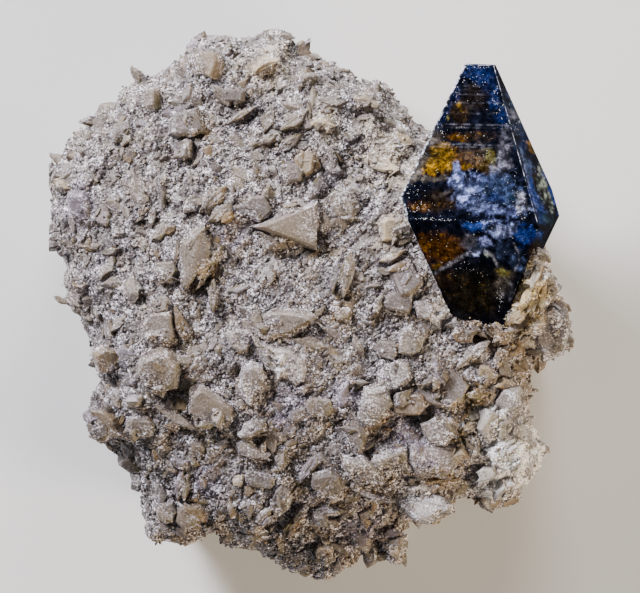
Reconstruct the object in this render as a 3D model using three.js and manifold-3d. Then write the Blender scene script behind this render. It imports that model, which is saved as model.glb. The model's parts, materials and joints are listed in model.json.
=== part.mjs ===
// An anatase crystal on its matrix: a small plate of rock grown over with lens-shaped blades.
// Millimetres, +Z up. The plate lies on its broken flat back, and the druse with the crystal faces up.
// The origin is on the flat back, near the middle of the plate.

import * as THREE from 'three';
import { ConvexGeometry } from 'three/addons/geometries/ConvexGeometry.js';
import { mergeVertices } from 'three/addons/utils/BufferGeometryUtils.js';
import Module from 'manifold-3d';

// Driving dimensions of the crystal, a steep four-sided double pyramid with a cut-off top
const CRYSTAL_CENTRE = new THREE.Vector3(8.35, 5.05, 9.5);
const CRYSTAL_TURN = 11.6; // degrees about its long axis, front face towards -X
const CRYSTAL_TILT = 6.6; // degrees, top raised off the plate
const CRYSTAL_ROLL = -1.3; // degrees in the plane of the plate
const FACE_LEAN = 68.3; // degrees between a pyramid face's normal and the long axis
const TOP_REACH = 6.85; // centre to the small flat top
const UPPER_REACH = { front: 2.4, right: 3.0, back: 3.1, left: 3.45 }; // centre to each face
const LOWER_REACH = { front: 2.95, right: 3.6, back: 2.8, left: 3.17 };
const POCKET_GAP = 0.3; // free space between the crystal and the matrix around it

// Driving dimensions of the matrix
const EDGE_HEIGHT = 4.2; // where the plate is widest and its rim turns over
const RIM_WIDTH = 1.9; // from the outline in to where the top levels out
const SOLE_SHARE = 0.88; // width of the flat back over the plate's full width
const WEAR_REACH = 4; // corners of the outline that its lower, duller rings are averaged over
const PLATE_MIDDLE = [-0.4, -0.35];
const GROUND_SIDE = 30; // block that carries the top's relief
const GROUND_CELLS = 25;
const GROUND_TOP = 20;
const HEIGHT_BLEND = 1.9; // reach of each measured height over its neighbours
const GROUND_DEPTH = 2; // of the block before its top is raised
const RELIEF = 0.3; // roughness of the ground between the blades
const RELIEF_CELL = 7; // patches of relief per millimetre
const RELIEF_ROW = 61; // keeps the scatter of one row of patches apart from the next
const FAR_WEIGHT = 1e-6; // keeps the blend defined far from every measured height
const SLOPE_STEP = 0.6; // half the width over which the ground's slope is read

// Rings of the plate's side from the top down: height, share of the full width, how lumpy the
// ring is and how far it is worn smooth
const SIDE_RINGS = [
  { height: GROUND_TOP, share: 1, lump: 0, worn: 0 },
  { height: EDGE_HEIGHT, share: 1, lump: 0, worn: 0 },
  { height: 2.9, share: 0.985, lump: 0.014, worn: 0.5 },
  { height: 1.3, share: 0.94, lump: 0.022, worn: 0.85 },
  { height: 0, share: SOLE_SHARE, lump: 0.016, worn: 1 },
];
const LUMP_WAVE = 0.45; // radians a corner of the outline
const LUMP_SHIFT = 2.3; // radians from one ring to the next
const LUMP_SEED = 31;

// Outline of the plate seen from above, clockwise from its left end; the stretch from
// (5.85, 8.6) to (11.55, 2.85) runs under the crystal
const OUTLINE = [
  [-13.3, 5.9], [-13.25, 6.45], [-13.1, 6.75], [-12.65, 7.25], [-12.4, 7.6], [-12.3, 7.95],
  [-12.05, 8.3], [-11.7, 8.75], [-11.15, 9.05], [-10.65, 9.3], [-10.15, 9.65], [-9.85, 9.9],
  [-9.75, 10.15], [-9.75, 10.65], [-9.25, 10.9], [-9.0, 10.95], [-8.9, 11.55], [-8.8, 11.8],
  [-8.6, 11.65], [-8.15, 11.4], [-7.95, 11.2], [-7.8, 11.4], [-7.9, 11.7], [-7.6, 11.8],
  [-7.3, 11.95], [-7.0, 12.0], [-6.65, 12.25], [-6.5, 12.5], [-6.4, 12.8], [-6.05, 13.15],
  [-6.0, 13.35], [-5.75, 13.45], [-5.45, 13.3], [-5.1, 13.4], [-4.3, 13.4], [-3.8, 13.1],
  [-3.15, 13.1], [-2.95, 13.45], [-2.6, 13.6], [-2.45, 13.75], [-2.1, 13.9], [-1.65, 13.75],
  [-1.5, 13.6], [-1.45, 13.25], [-1.0, 12.95], [-0.85, 13.0], [-0.65, 12.7], [-0.45, 12.5],
  [-0.2, 12.25], [0.1, 12.1], [0.65, 12.1], [0.95, 12.0], [1.35, 11.65], [1.85, 11.55],
  [2.05, 11.3], [2.4, 11.05], [2.85, 11.0], [3.4, 11.05], [3.65, 10.9], [3.9, 10.6],
  [4.35, 10.05], [4.6, 9.65], [4.9, 9.25], [5.5, 8.7], [5.85, 8.6], [7.1, 7.65],
  [8.6, 6.25], [10.1, 4.75], [11.1, 3.55], [11.55, 2.85], [11.65, 2.5], [11.9, 2.1],
  [11.75, 1.85], [12.0, 1.65], [11.85, 1.35], [12.0, 1.05], [11.95, 0.85], [12.2, 0.6],
  [12.55, 0.15], [12.75, -0.2], [12.8, -0.55], [12.5, -0.65], [12.65, -0.95], [12.8, -1.35],
  [13.05, -1.45], [13.15, -1.75], [13.1, -2.05], [12.9, -2.3], [12.4, -2.3], [12.15, -2.6],
  [11.8, -2.75], [11.3, -2.7], [11.15, -2.85], [11.1, -3.2], [10.95, -3.4], [10.9, -3.85],
  [10.95, -4.25], [10.8, -4.9], [10.75, -5.35], [10.6, -5.55], [10.75, -5.95], [11.1, -6.4],
  [11.5, -6.85], [11.7, -7.1], [11.5, -7.45], [11.5, -7.95], [11.3, -8.35], [10.9, -8.85],
  [10.6, -9.2], [10.35, -9.55], [10.4, -9.9], [10.3, -10.1], [10.05, -10.35], [9.6, -10.3],
  [9.25, -10.25], [8.9, -10.4], [8.6, -10.3], [8.0, -9.7], [7.8, -9.5], [7.45, -9.35],
  [7.3, -9.65], [7.1, -10.0], [6.95, -10.3], [6.85, -10.6], [6.5, -10.8], [6.1, -11.1],
  [5.45, -11.05], [4.85, -10.95], [4.3, -11.0], [4.35, -11.3], [4.45, -11.65], [4.68, -12.25],
  [4.65, -12.65], [4.6, -13.05], [4.0, -13.05], [3.3, -12.8], [2.55, -12.5], [2.35, -12.6],
  [2.25, -12.95], [2.1, -13.25], [1.65, -13.35], [1.15, -13.6], [0.8, -13.8], [0.75, -13.95],
  [0.4, -13.95], [0.0, -13.9], [-0.3, -13.6], [-0.9, -13.5], [-1.55, -13.2], [-2.3, -12.65],
  [-2.65, -12.45], [-3.2, -12.4], [-4.15, -12.35], [-4.3, -12.05], [-4.45, -11.7], [-4.7, -11.45],
  [-5.05, -11.45], [-5.35, -11.7], [-5.9, -12.05], [-6.4, -12.25], [-6.75, -12.2], [-7.15, -12.0],
  [-7.6, -11.85], [-7.9, -12.1], [-8.25, -11.95], [-8.4, -11.5], [-8.35, -11.05], [-8.6, -10.55],
  [-8.7, -10.05], [-8.4, -9.7], [-8.4, -9.35], [-8.75, -9.1], [-8.9, -8.75], [-9.25, -8.5],
  [-9.4, -7.8], [-9.85, -7.5], [-10.4, -7.1], [-10.8, -6.75], [-11.3, -6.35], [-11.5, -5.85],
  [-11.45, -5.65], [-11.2, -5.25], [-11.15, -4.85], [-10.8, -4.3], [-10.6, -3.95], [-10.75, -3.5],
  [-11.1, -2.8], [-11.0, -2.55], [-11.15, -1.9], [-11.4, -1.8], [-11.5, -1.4], [-11.65, -0.8],
  [-12.15, -0.3], [-12.65, 0.15], [-12.35, 0.4], [-12.5, 0.85], [-12.6, 1.3], [-12.4, 1.5],
  [-12.2, 1.7], [-12.35, 2.05], [-12.65, 2.4], [-12.75, 2.8], [-13.0, 3.15], [-13.0, 3.4],
  [-13.1, 4.05], [-13.15, 4.9], [-13.1, 5.25], [-13.05, 5.65],
];

// Heights of the ground over the flat back at places across the plate: x, y, height
const HEIGHTS = [
  [0, 0, 9.6], [-3, 4, 9.3], [-6, 2, 9.2], [-9, 3, 8.3], [-12, 5, 6.8], [-12, 1, 6.8],
  [-8, -3, 8.9], [-10.5, -6, 6.7], [-7, -6, 7.9], [-7, -10, 6.2], [-3, -4, 9.4], [-2, -9.5, 8.0],
  [0, -13, 5.0], [3, -5, 9.4], [3.5, -8, 8.8], [4, -12, 5.4], [6, -4, 9.8], [5.5, -9.5, 8.0],
  [9.5, -6, 8.9], [10, -9, 7.8], [12, -1.5, 8.2], [9.8, -2.6, 9.8], [7.8, -1.6, 9.85],
  [10.9, 0.8, 12.2], [4, 3, 9.5], [3.8, 7.5, 8.8], [1, 9, 8.8], [-2, 10, 8.4], [-5, 11.5, 7.5],
  [-8, 8, 8.2], [-11, 8, 6.8], [-2, 13, 6.8], [6, 0.5, 9.9],
];

// Blades, slabs and knobs grown on the plate: x, y, length, width, turn in degrees from +X, and
// for some how far they stand above the ground more than their width gives
const BLADES = [
  [-5.45, 11.95, 1.5, 1.2, 10], [-6.2, 8.95, 1.75, 1.5, 20], [-6.6, 7.7, 1.1, 0.95, 80],
  [-12.6, 6.0, 1.2, 0.6, -30], [-8.7, 5.55, 2.2, 1.0, -75], [-7.7, 5.5, 1.75, 0.55, -80],
  [-11.7, 4.75, 1.3, 1.1, 80], [-10.6, 4.5, 1.6, 0.8, -70], [-2.35, 11.8, 1.5, 0.7, 25, 0.2],
  [-3.5, 9.45, 1.8, 0.3, 30], [-2.25, 9.25, 1.5, 0.65, 75], [-2.3, 8.2, 1.3, 0.45, 20],
  [-1.25, 7.95, 1.6, 0.65, 35], [0.5, 8.9, 1.4, 0.55, -5, 0.2], [0.8, 7.3, 1.7, 0.7, -70],
  [0.25, 5.9, 1.1, 0.6, 80], [1.95, 8.35, 1.0, 0.65, 15], [3.5, 6.9, 1.8, 0.8, -20],
  [1.6, 5.0, 1.7, 1.3, 0], [-1.2, 3.8, 3.3, 1.9, 25, 0.1], [1.7, 1.4, 2.3, 0.7, 80, 0.2],
  [1.1, 1.4, 1.8, 0.6, 80], [1.5, -0.45, 1.0, 0.7, 0], [3.2, -0.2, 1.3, 0.55, 65],
  [3.95, 2.35, 1.5, 0.5, 25], [4.0, 3.65, 1.3, 1.2, 90], [-1.6, -1.05, 3.3, 1.4, 10, 0.1],
  [-1.6, -2.9, 3.0, 1.4, -40, 0.1], [-0.15, -2.05, 1.7, 0.9, -15], [-3.15, -4.25, 2.2, 1.4, 80],
  [-5.2, -5.35, 2.6, 1.3, -35, 0.2], [-3.05, -6.3, 1.6, 0.8, 30], [0.35, -5.25, 1.4, 0.9, 0],
  [-0.7, -5.65, 1.1, 0.6, 10], [-3.65, -1.85, 1.5, 1.3, 90], [-7.85, -3.5, 2.3, 2.2, 0, 0.2],
  [-7.7, -1.4, 1.8, 1.6, 0], [-6.6, -1.1, 1.9, 0.65, -75], [-7.6, -0.05, 0.9, 0.9, 45],
  [-10.2, -2.95, 1.4, 1.2, 90], [-9.0, -4.9, 0.9, 0.6, 30], [-6.95, -5.7, 2.6, 0.5, -30],
  [-10.5, -6.05, 2.0, 1.2, -45], [-8.7, -6.25, 1.3, 0.8, 0], [-6.55, -9.15, 1.6, 0.65, 80],
  [-6.6, -7.85, 1.1, 0.45, -10], [-5.8, -7.45, 0.8, 0.7, 0], [-7.4, -10.5, 1.0, 0.85, 0],
  [-6.3, -10.75, 1.2, 1.1, 90], [-4.1, -10.25, 0.9, 0.6, 30], [-2.65, -8.9, 1.5, 0.8, -10],
  [-1.6, -7.9, 1.3, 0.6, 75], [-1.65, -9.9, 1.4, 0.9, 80], [-2.5, -10.7, 1.1, 0.85, 40],
  [-3.05, -10.3, 1.2, 0.7, 0], [-1.25, -11.35, 1.1, 0.5, 60], [-0.7, -10.7, 1.2, 0.5, 60],
  [0.85, -9.3, 1.8, 1.7, 0, 0.1], [-0.2, -8.3, 1.7, 0.7, 55], [2.35, -8.5, 2.3, 1.0, -38, 0.2],
  [4.1, -3.45, 1.5, 1.0, 35], [3.6, -4.25, 1.2, 0.9, 0], [3.05, -5.55, 1.9, 1.2, 70, 0.1],
  [2.1, -6.35, 2.3, 0.9, -75], [3.95, -7.6, 1.6, 0.7, 20, 0.2], [3.65, -2.35, 1.0, 0.85, 0],
  [5.85, -3.65, 2.4, 1.3, 8, 0.1], [6.6, -4.75, 2.0, 1.1, -15], [6.4, -6.2, 1.6, 1.3, -50],
  [6.25, -8.2, 2.8, 0.8, -12, 0.3], [6.7, -8.95, 2.6, 0.5, -5], [5.35, -9.95, 2.5, 1.2, 0, 0.1],
  [9.0, -5.85, 2.3, 1.4, 60, 0.1], [8.75, -3.65, 1.1, 0.7, -45], [8.2, -2.4, 1.6, 0.7, 35, 0.1],
  [7.5, -1.6, 1.1, 0.7, 0], [12.0, -1.35, 2.6, 1.4, 75], [12.4, -0.1, 1.1, 0.5, -55],
  [12.75, -1.85, 0.8, 0.6, 90], [-11.7, 0.95, 0.9, 0.5, 0], [-10.35, 1.4, 1.0, 0.4, 45],
  [-7.4, 1.5, 1.1, 0.9, 0], [-6.85, 2.45, 1.4, 0.4, 80], [-9.05, 0.65, 0.9, 0.7, 0],
  [-5.05, 5.2, 1.9, 1.0, 40], [-4.55, 4.55, 1.5, 0.7, 35], [-6.1, 4.95, 0.9, 0.7, 0],
  [-5.9, 2.3, 3.3, 1.5, 75, 0.1], [-5.2, 1.75, 2.4, 0.4, 60, 0.2], [-3.0, 4.75, 1.4, 1.4, 45],
  [-5.0, 0.4, 1.7, 0.5, 90], [-4.1, 10.45, 1.4, 0.8, 0], [-0.3, 7.15, 1.2, 1.0, 0],
  [-1.15, 6.55, 1.2, 1.0, 0], [-0.9, 9.15, 1.8, 0.6, 35], [2.85, -9.6, 2.5, 0.4, -20],
  [0.85, -10.4, 1.6, 0.5, 0], [0.6, -12.6, 1.1, 0.9, 0], [4.1, -12.25, 0.7, 0.6, 90],
  [3.95, -11.6, 0.8, 0.5, 0], [1.6, -4.6, 1.3, 0.6, 80], [4.75, -4.9, 1.7, 1.1, 0],
  [-2.75, -7.5, 1.7, 0.7, -10], [8.1, -4.6, 0.9, 0.6, 0], [7.95, -6.2, 0.9, 0.55, 25],
  [7.95, -7.1, 1.1, 0.6, -40], [7.45, -7.8, 0.8, 0.6, 80], [8.7, -8.6, 0.9, 0.8, 0],
  [9.3, -9.4, 1.2, 0.8, 0], [9.6, -7.6, 2.0, 1.8, -45], [10.6, -6.6, 1.5, 0.8, -50],
  [9.85, -4.95, 1.5, 1.2, 90], [9.75, -4.1, 1.3, 0.7, 0], [11.2, 1.6, 2.0, 0.6, 72, 0.3],
  [10.75, 0.4, 1.8, 0.6, 65, 0.2], [11.4, 0.4, 1.9, 0.5, 75, 0.1], [10.2, -0.7, 1.2, 0.6, 40, 0.1],
  [11.0, -1.1, 1.0, 0.7, 20], [9.6, -1.7, 1.1, 0.8, 30], [10.1, -2.2, 1.0, 0.8, 60],
  [9.3, -2.8, 1.0, 0.6, 80], [10.3, -3.1, 1.1, 0.7, -30], [6.15, -0.9, 1.1, 0.5, -60],
  [4.7, 1.35, 2.0, 1.3, -65], [4.35, 0.0, 1.5, 1.2, 0], [5.45, -0.25, 1.1, 1.0, 0],
  [4.85, -1.9, 1.5, 1.2, 80], [11.5, -2.1, 1.9, 0.6, -8], [-9.6, 8.4, 1.2, 0.8, 40],
  [-7.8, 10.2, 1.3, 0.8, 70], [2.6, 10.0, 1.4, 0.7, -20], [-0.2, 11.1, 1.2, 0.7, 30],
  [4.6, 8.2, 1.2, 0.8, -35],
];

// Fibrous fins that stand upright on the narrow ridge beside the crystal: x, y, length, width,
// turn in degrees from +X, height of the top over the flat back
const FINS = [
  [11.3, 2.1, 1.5, 0.9, 76, 11.4], [11.2, 1.3, 1.6, 1.2, 70, 11.1], [11.5, 0.6, 1.6, 1.0, 74, 10.3],
];
const FIN_FOOT = 6; // height of their feet, well inside the rock

// Shape of a blade: its leaf outline as shares of half length and half width, and its section
const LEAF = [[1, 0], [0.3, 0.95], [-0.95, 0.45], [-0.7, -0.75], [0.4, -1]];
const LEAF_TOP_SHARE = 0.74;
const LEAF_ROOT_SHARE = 1.3;
const LEAF_IRREGULAR = 0.24;
const LEAF_RISE_BASE = 0.14;
const LEAF_RISE_SHARE = 0.24; // of the blade's width
const LEAF_ROOT = 0.7; // depth of its foot in the ground
const LEAF_LEAN = 16; // degrees, the most a blade leans out of the ground's own slope
const LEAF_LEAN_ACROSS = 0.6; // share of that lean about the blade's width

// Limits of the geometry work
const SCATTER_WAVE = [12.9898, 4.1414, 43758.5453];
const MERGE_DISTANCE = 1e-5; // corners closer than this are one
const PARALLEL_LIMIT = 1e-3; // planes with a smaller triple product have no single meeting point
const PLANE_TOLERANCE = 1e-6;

// Fixed scatter between 0 and 1, the same each time for the same seed
function scatter(seed) {
  const [pitch, shift, height] = SCATTER_WAVE;
  const wave = Math.sin(seed * pitch + shift) * height;
  return wave - Math.floor(wave);
}

// Signed scatter between -1 and 1
function sway(seed) {
  return 2 * scatter(seed) - 1;
}

// Distance from a point to the nearest side of the outline
function distanceToOutline(x, y) {
  const point = new THREE.Vector3(x, y, 0);
  const side = new THREE.Line3();
  const nearest = new THREE.Vector3();
  let least = Infinity;
  OUTLINE.forEach(([x0, y0], index) => {
    const [x1, y1] = OUTLINE[(index + 1) % OUTLINE.length];
    side.set(new THREE.Vector3(x0, y0, 0), new THREE.Vector3(x1, y1, 0));
    side.closestPointToPoint(point, true, nearest);
    least = Math.min(least, nearest.distanceTo(point));
  });
  return least;
}

// Whether a point lies inside the outline
function insideOutline(x, y) {
  let inside = false;
  OUTLINE.forEach(([x0, y0], index) => {
    const [x1, y1] = OUTLINE[(index + 1) % OUTLINE.length];
    const crosses = (y0 > y) !== (y1 > y);
    if (crosses && x < x0 + ((y - y0) / (y1 - y0)) * (x1 - x0)) {
      inside = !inside;
    }
  });
  return inside;
}

// Height of the ground: the measured heights blended, brought down at the rim
function groundHeight(x, y) {
  let sum = 0;
  let weights = 0;
  for (const [x0, y0, height] of HEIGHTS) {
    const away = Math.hypot(x - x0, y - y0) / HEIGHT_BLEND;
    const weight = Math.exp(-0.5 * away * away) + FAR_WEIGHT;
    sum += weight * height;
    weights += weight;
  }
  const inset = insideOutline(x, y) ? distanceToOutline(x, y) : 0;
  const share = Math.min(inset / RIM_WIDTH, 1);
  const shoulder = Math.sqrt(1 - (1 - share) ** 2);
  return EDGE_HEIGHT + (sum / weights - EDGE_HEIGHT) * shoulder;
}

// Direction square to the ground at a point
function groundNormal(x, y) {
  const right = groundHeight(x + SLOPE_STEP, y);
  const left = groundHeight(x - SLOPE_STEP, y);
  const above = groundHeight(x, y + SLOPE_STEP);
  const below = groundHeight(x, y - SLOPE_STEP);
  return new THREE.Vector3(left - right, below - above, 2 * SLOPE_STEP).normalize();
}

const wasm = await Module();
wasm.setup();

// A closed geometry as a solid that can be joined and cut
function toSolid(geometry) {
  const bare = geometry.clone();
  bare.deleteAttribute('normal');
  bare.deleteAttribute('uv');
  const merged = mergeVertices(bare, MERGE_DISTANCE);
  return new wasm.Manifold(new wasm.Mesh({
    numProp: 3,
    vertProperties: new Float32Array(merged.attributes.position.array),
    triVerts: new Uint32Array(merged.index.array),
  }));
}

// A joined or cut solid as a geometry
function toGeometry(solid) {
  const mesh = solid.getMesh();
  const geometry = new THREE.BufferGeometry();
  geometry.setAttribute('position', new THREE.BufferAttribute(mesh.vertProperties, 3));
  geometry.setIndex(new THREE.BufferAttribute(mesh.triVerts, 1));
  geometry.computeVertexNormals();
  return geometry;
}

// A corner of the outline, moved by the share worn towards the mean of its neighbours
function wornCorner(corner, worn) {
  const count = OUTLINE.length;
  let [meanX, meanY] = [0, 0];
  for (let step = -WEAR_REACH; step <= WEAR_REACH; step += 1) {
    const [x, y] = OUTLINE[(corner + step + count) % count];
    meanX += x / (2 * WEAR_REACH + 1);
    meanY += y / (2 * WEAR_REACH + 1);
  }
  const [x, y] = OUTLINE[corner];
  return [x + (meanX - x) * worn, y + (meanY - y) * worn];
}

// The plate's rough sides and flat back: a drum whose rings are drawn out to the outline
function sidesGeometry() {
  const levels = SIDE_RINGS.length - 1;
  const count = OUTLINE.length;
  const geometry = new THREE.CylinderGeometry(1, 1, levels, count, levels);
  const position = geometry.attributes.position;
  const [middleX, middleY] = PLATE_MIDDLE;
  for (let index = 0; index < position.count; index += 1) {
    const level = Math.round(levels / 2 - position.getY(index));
    const ring = SIDE_RINGS[level];
    const radius = Math.hypot(position.getX(index), position.getZ(index));
    const angle = Math.atan2(position.getX(index), position.getZ(index));
    const place = Math.round((angle / (2 * Math.PI)) * count + count) % count;
    const corner = (count - place) % count;
    const [x, y] = wornCorner(corner, ring.worn);
    const swell = Math.sin(corner * LUMP_WAVE + level * LUMP_SHIFT);
    const lump = swell + sway(corner + LUMP_SEED * level);
    const share = radius * ring.share * (1 + ring.lump * lump);
    position.setXYZ(
      index,
      middleX + (x - middleX) * share,
      middleY + (y - middleY) * share,
      ring.height,
    );
  }
  return geometry;
}

// A block whose top carries the relief of the ground
function groundGeometry() {
  const geometry = new THREE.BoxGeometry(
    GROUND_SIDE, GROUND_SIDE, GROUND_DEPTH, GROUND_CELLS, GROUND_CELLS, 1);
  const position = geometry.attributes.position;
  for (let index = 0; index < position.count; index += 1) {
    if (position.getZ(index) > 0) {
      const x = position.getX(index);
      const y = position.getY(index);
      const seed = Math.round(x * RELIEF_CELL) + Math.round(y * RELIEF_CELL) * RELIEF_ROW;
      position.setZ(index, groundHeight(x, y) + RELIEF * sway(seed));
    }
  }
  return geometry;
}

// A leaf-shaped table with sloping sides between two heights
function leafGeometry(length, width, foot, top, index) {
  const layers = [
    { share: LEAF_TOP_SHARE, height: top },
    { share: LEAF_ROOT_SHARE, height: foot },
  ];
  const points = [];
  layers.forEach(({ share, height }) => {
    LEAF.forEach(([along, across], corner) => {
      const seed = index * (LEAF.length + 2) + corner;
      const uneven = 1 + LEAF_IRREGULAR * (scatter(seed) - 0.5);
      points.push(new THREE.Vector3(
        along * share * uneven * length / 2,
        across * share * uneven * width / 2,
        height,
      ));
    });
  });
  return new ConvexGeometry(points);
}

// One blade in place: a leaf with its foot in the ground, leaned to the ground's slope
function bladeGeometry([x, y, length, width, turn, lift = 0], index) {
  const rise = LEAF_RISE_BASE + LEAF_RISE_SHARE * width + lift;
  const geometry = leafGeometry(length, width, -LEAF_ROOT, rise, index);
  const leanX = LEAF_LEAN * sway(index * 3 + 1);
  const leanY = LEAF_LEAN_ACROSS * LEAF_LEAN * sway(index * 3 + 2);
  geometry.rotateX(THREE.MathUtils.degToRad(leanX));
  geometry.rotateY(THREE.MathUtils.degToRad(leanY));
  geometry.rotateZ(THREE.MathUtils.degToRad(turn));
  const slope = new THREE.Quaternion().setFromUnitVectors(
    new THREE.Vector3(0, 0, 1), groundNormal(x, y));
  geometry.applyQuaternion(slope);
  geometry.translate(x, y, groundHeight(x, y));
  return geometry;
}

// One fin in place: an upright leaf from deep in the rock to its own height
function finGeometry([x, y, length, width, turn, top], index) {
  const geometry = leafGeometry(length, width, FIN_FOOT, top, index);
  geometry.rotateZ(THREE.MathUtils.degToRad(turn));
  geometry.translate(x, y, 0);
  return geometry;
}

// Turn that brings the crystal's own axes (x right, y along it, z front) into the plate's frame
function crystalTurn() {
  const aboutAxis = new THREE.Matrix4().makeRotationY(-THREE.MathUtils.degToRad(CRYSTAL_TURN));
  const raised = new THREE.Matrix4().makeRotationX(THREE.MathUtils.degToRad(CRYSTAL_TILT));
  const rolled = new THREE.Matrix4().makeRotationZ(THREE.MathUtils.degToRad(CRYSTAL_ROLL));
  return rolled.multiply(raised).multiply(aboutAxis);
}

// The crystal's faces as planes in its own axes, each moved out by the growth
function crystalPlanes(growth) {
  const lean = THREE.MathUtils.degToRad(FACE_LEAN);
  const sideways = {
    front: [0, 1], right: [1, 0], back: [0, -1], left: [-1, 0],
  };
  const planes = [new THREE.Plane(new THREE.Vector3(0, 1, 0), -TOP_REACH - growth)];
  for (const [side, [x, z]] of Object.entries(sideways)) {
    for (const [reach, up] of [[UPPER_REACH[side], 1], [LOWER_REACH[side], -1]]) {
      const normal = new THREE.Vector3(
        x * Math.sin(lean), up * Math.cos(lean), z * Math.sin(lean));
      planes.push(new THREE.Plane(normal, -reach - growth));
    }
  }
  return planes;
}

// Point where three planes meet, or null where they have no single point
function meetingPoint(a, b, c) {
  const cross = new THREE.Vector3().crossVectors(b.normal, c.normal);
  const volume = a.normal.dot(cross);
  if (Math.abs(volume) < PARALLEL_LIMIT) {
    return null;
  }
  const point = cross.multiplyScalar(-a.constant);
  point.addScaledVector(new THREE.Vector3().crossVectors(c.normal, a.normal), -b.constant);
  point.addScaledVector(new THREE.Vector3().crossVectors(a.normal, b.normal), -c.constant);
  return point.divideScalar(volume);
}

// The crystal in place: the solid that all of its face planes enclose
function crystalGeometry(growth) {
  const planes = crystalPlanes(growth);
  const corners = [];
  for (let i = 0; i < planes.length; i += 1) {
    for (let j = i + 1; j < planes.length; j += 1) {
      for (let k = j + 1; k < planes.length; k += 1) {
        const point = meetingPoint(planes[i], planes[j], planes[k]);
        if (point && planes.every((plane) => plane.distanceToPoint(point) < PLANE_TOLERANCE)) {
          corners.push(point);
        }
      }
    }
  }
  const geometry = new ConvexGeometry(corners);
  geometry.applyMatrix4(crystalTurn());
  geometry.translate(...CRYSTAL_CENTRE.toArray());
  return geometry;
}

// The matrix: sides and ground made one, blades and fins joined on, the crystal's pocket cut out
function matrixGeometry() {
  let solid = toSolid(sidesGeometry()).intersect(toSolid(groundGeometry()));
  const grown = [...BLADES.map(bladeGeometry), ...FINS.map(finGeometry)];
  grown.forEach((geometry) => {
    solid = solid.add(toSolid(geometry));
  });
  solid = solid.subtract(toSolid(crystalGeometry(POCKET_GAP)));
  return toGeometry(solid);
}

const matrix = new THREE.Mesh(
  matrixGeometry(),
  new THREE.MeshStandardMaterial({ color: 0x9c948b, roughness: 0.85, metalness: 0 }),
);
matrix.name = 'matrix';

const anatase = new THREE.Mesh(
  crystalGeometry(0),
  new THREE.MeshStandardMaterial({ color: 0x1c2745, roughness: 0.12, metalness: 0 }),
);
anatase.name = 'anatase';

const specimen = new THREE.Group();
specimen.add(matrix, anatase);

export default specimen;
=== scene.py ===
"""Looks of an anatase crystal on its matrix.

A small plate of sugary, bladed rock lies on its flat back, and one dark blue and amber crystal
stands out over its edge. Lengths are worked out in millimetres and each mesh is brought to metres
when its piece is finished. +Z is up, out of the druse, and +Y runs towards the crystal's free top.
"""

import json
import logging
import math
from dataclasses import dataclass, field
from enum import Enum
from typing import NamedTuple

import bmesh
import bpy
import numpy as np
from mathutils import Matrix, Vector, noise
from mathutils.bvhtree import BVHTree

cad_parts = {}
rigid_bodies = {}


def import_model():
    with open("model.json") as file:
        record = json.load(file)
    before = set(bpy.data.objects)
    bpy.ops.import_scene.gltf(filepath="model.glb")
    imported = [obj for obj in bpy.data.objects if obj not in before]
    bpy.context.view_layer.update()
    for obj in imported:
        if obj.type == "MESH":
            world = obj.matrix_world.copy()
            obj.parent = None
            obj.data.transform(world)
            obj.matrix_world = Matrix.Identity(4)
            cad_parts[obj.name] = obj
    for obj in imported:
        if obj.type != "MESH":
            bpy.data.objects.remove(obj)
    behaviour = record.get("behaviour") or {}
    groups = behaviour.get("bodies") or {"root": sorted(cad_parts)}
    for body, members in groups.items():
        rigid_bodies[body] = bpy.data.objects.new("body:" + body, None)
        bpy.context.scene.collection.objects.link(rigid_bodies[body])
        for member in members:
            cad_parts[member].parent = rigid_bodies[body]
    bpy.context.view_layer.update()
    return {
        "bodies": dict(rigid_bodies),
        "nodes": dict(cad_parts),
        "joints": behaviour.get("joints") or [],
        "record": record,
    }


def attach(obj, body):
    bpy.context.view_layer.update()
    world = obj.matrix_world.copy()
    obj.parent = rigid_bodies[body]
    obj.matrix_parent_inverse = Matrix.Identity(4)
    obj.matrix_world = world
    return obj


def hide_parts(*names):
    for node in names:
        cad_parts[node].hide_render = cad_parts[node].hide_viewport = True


LOG = logging.getLogger("specimen")
MM = 0.001
SKY = 40.0
TILT_SHIFTS = (0.0, 31.7, 67.1)
# Pale colour of the crystal's edges: partly wear, partly painted highlight.
EDGE_WEAR_AND_HIGHLIGHT = (0.7, 0.75, 0.9)
# The sugar's pits are darkened as painted shade; its specks are white grains with painted glints.
PIT_SHADE = (0.040, 0.029, 0.052, 1.0)
SPECK_GLINT = (0.94, 0.89, 0.97, 1.0)
Colour = tuple[float, float, float]


class Tint(Enum):
    """Colours of the rock and its blades, as linear values, with one painted shade, one colour that
    is partly a painted highlight and one lightened as painted light.
    """

    GREY = (0.106, 0.0885, 0.086)
    BEIGE = (0.158, 0.129, 0.103)
    # Painted shade, laid over the plate's lower left and bottom.
    PAINTED_SHADE = (0.050, 0.041, 0.036)
    CREAM = (0.40, 0.325, 0.22)
    WHITE = (0.60, 0.565, 0.55)
    PALE = (0.27, 0.245, 0.24)
    # Partly the white of the rock, partly a painted highlight where the lower right is brightest.
    SNOW_HIGHLIGHT = (0.98, 0.95, 0.90)
    LAVENDER = (0.165, 0.14, 0.185)
    TAN = (0.17, 0.118, 0.058)
    OCHRE = (0.135, 0.078, 0.014)
    OLIVE = (0.085, 0.062, 0.011)
    BROWN = (0.048, 0.030, 0.016)
    # Straw colour of the ridge beside the crystal, made lighter as painted light where the
    # crystal's shadow falls on it.
    STRAW_LIT = (0.52, 0.40, 0.18)


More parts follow.
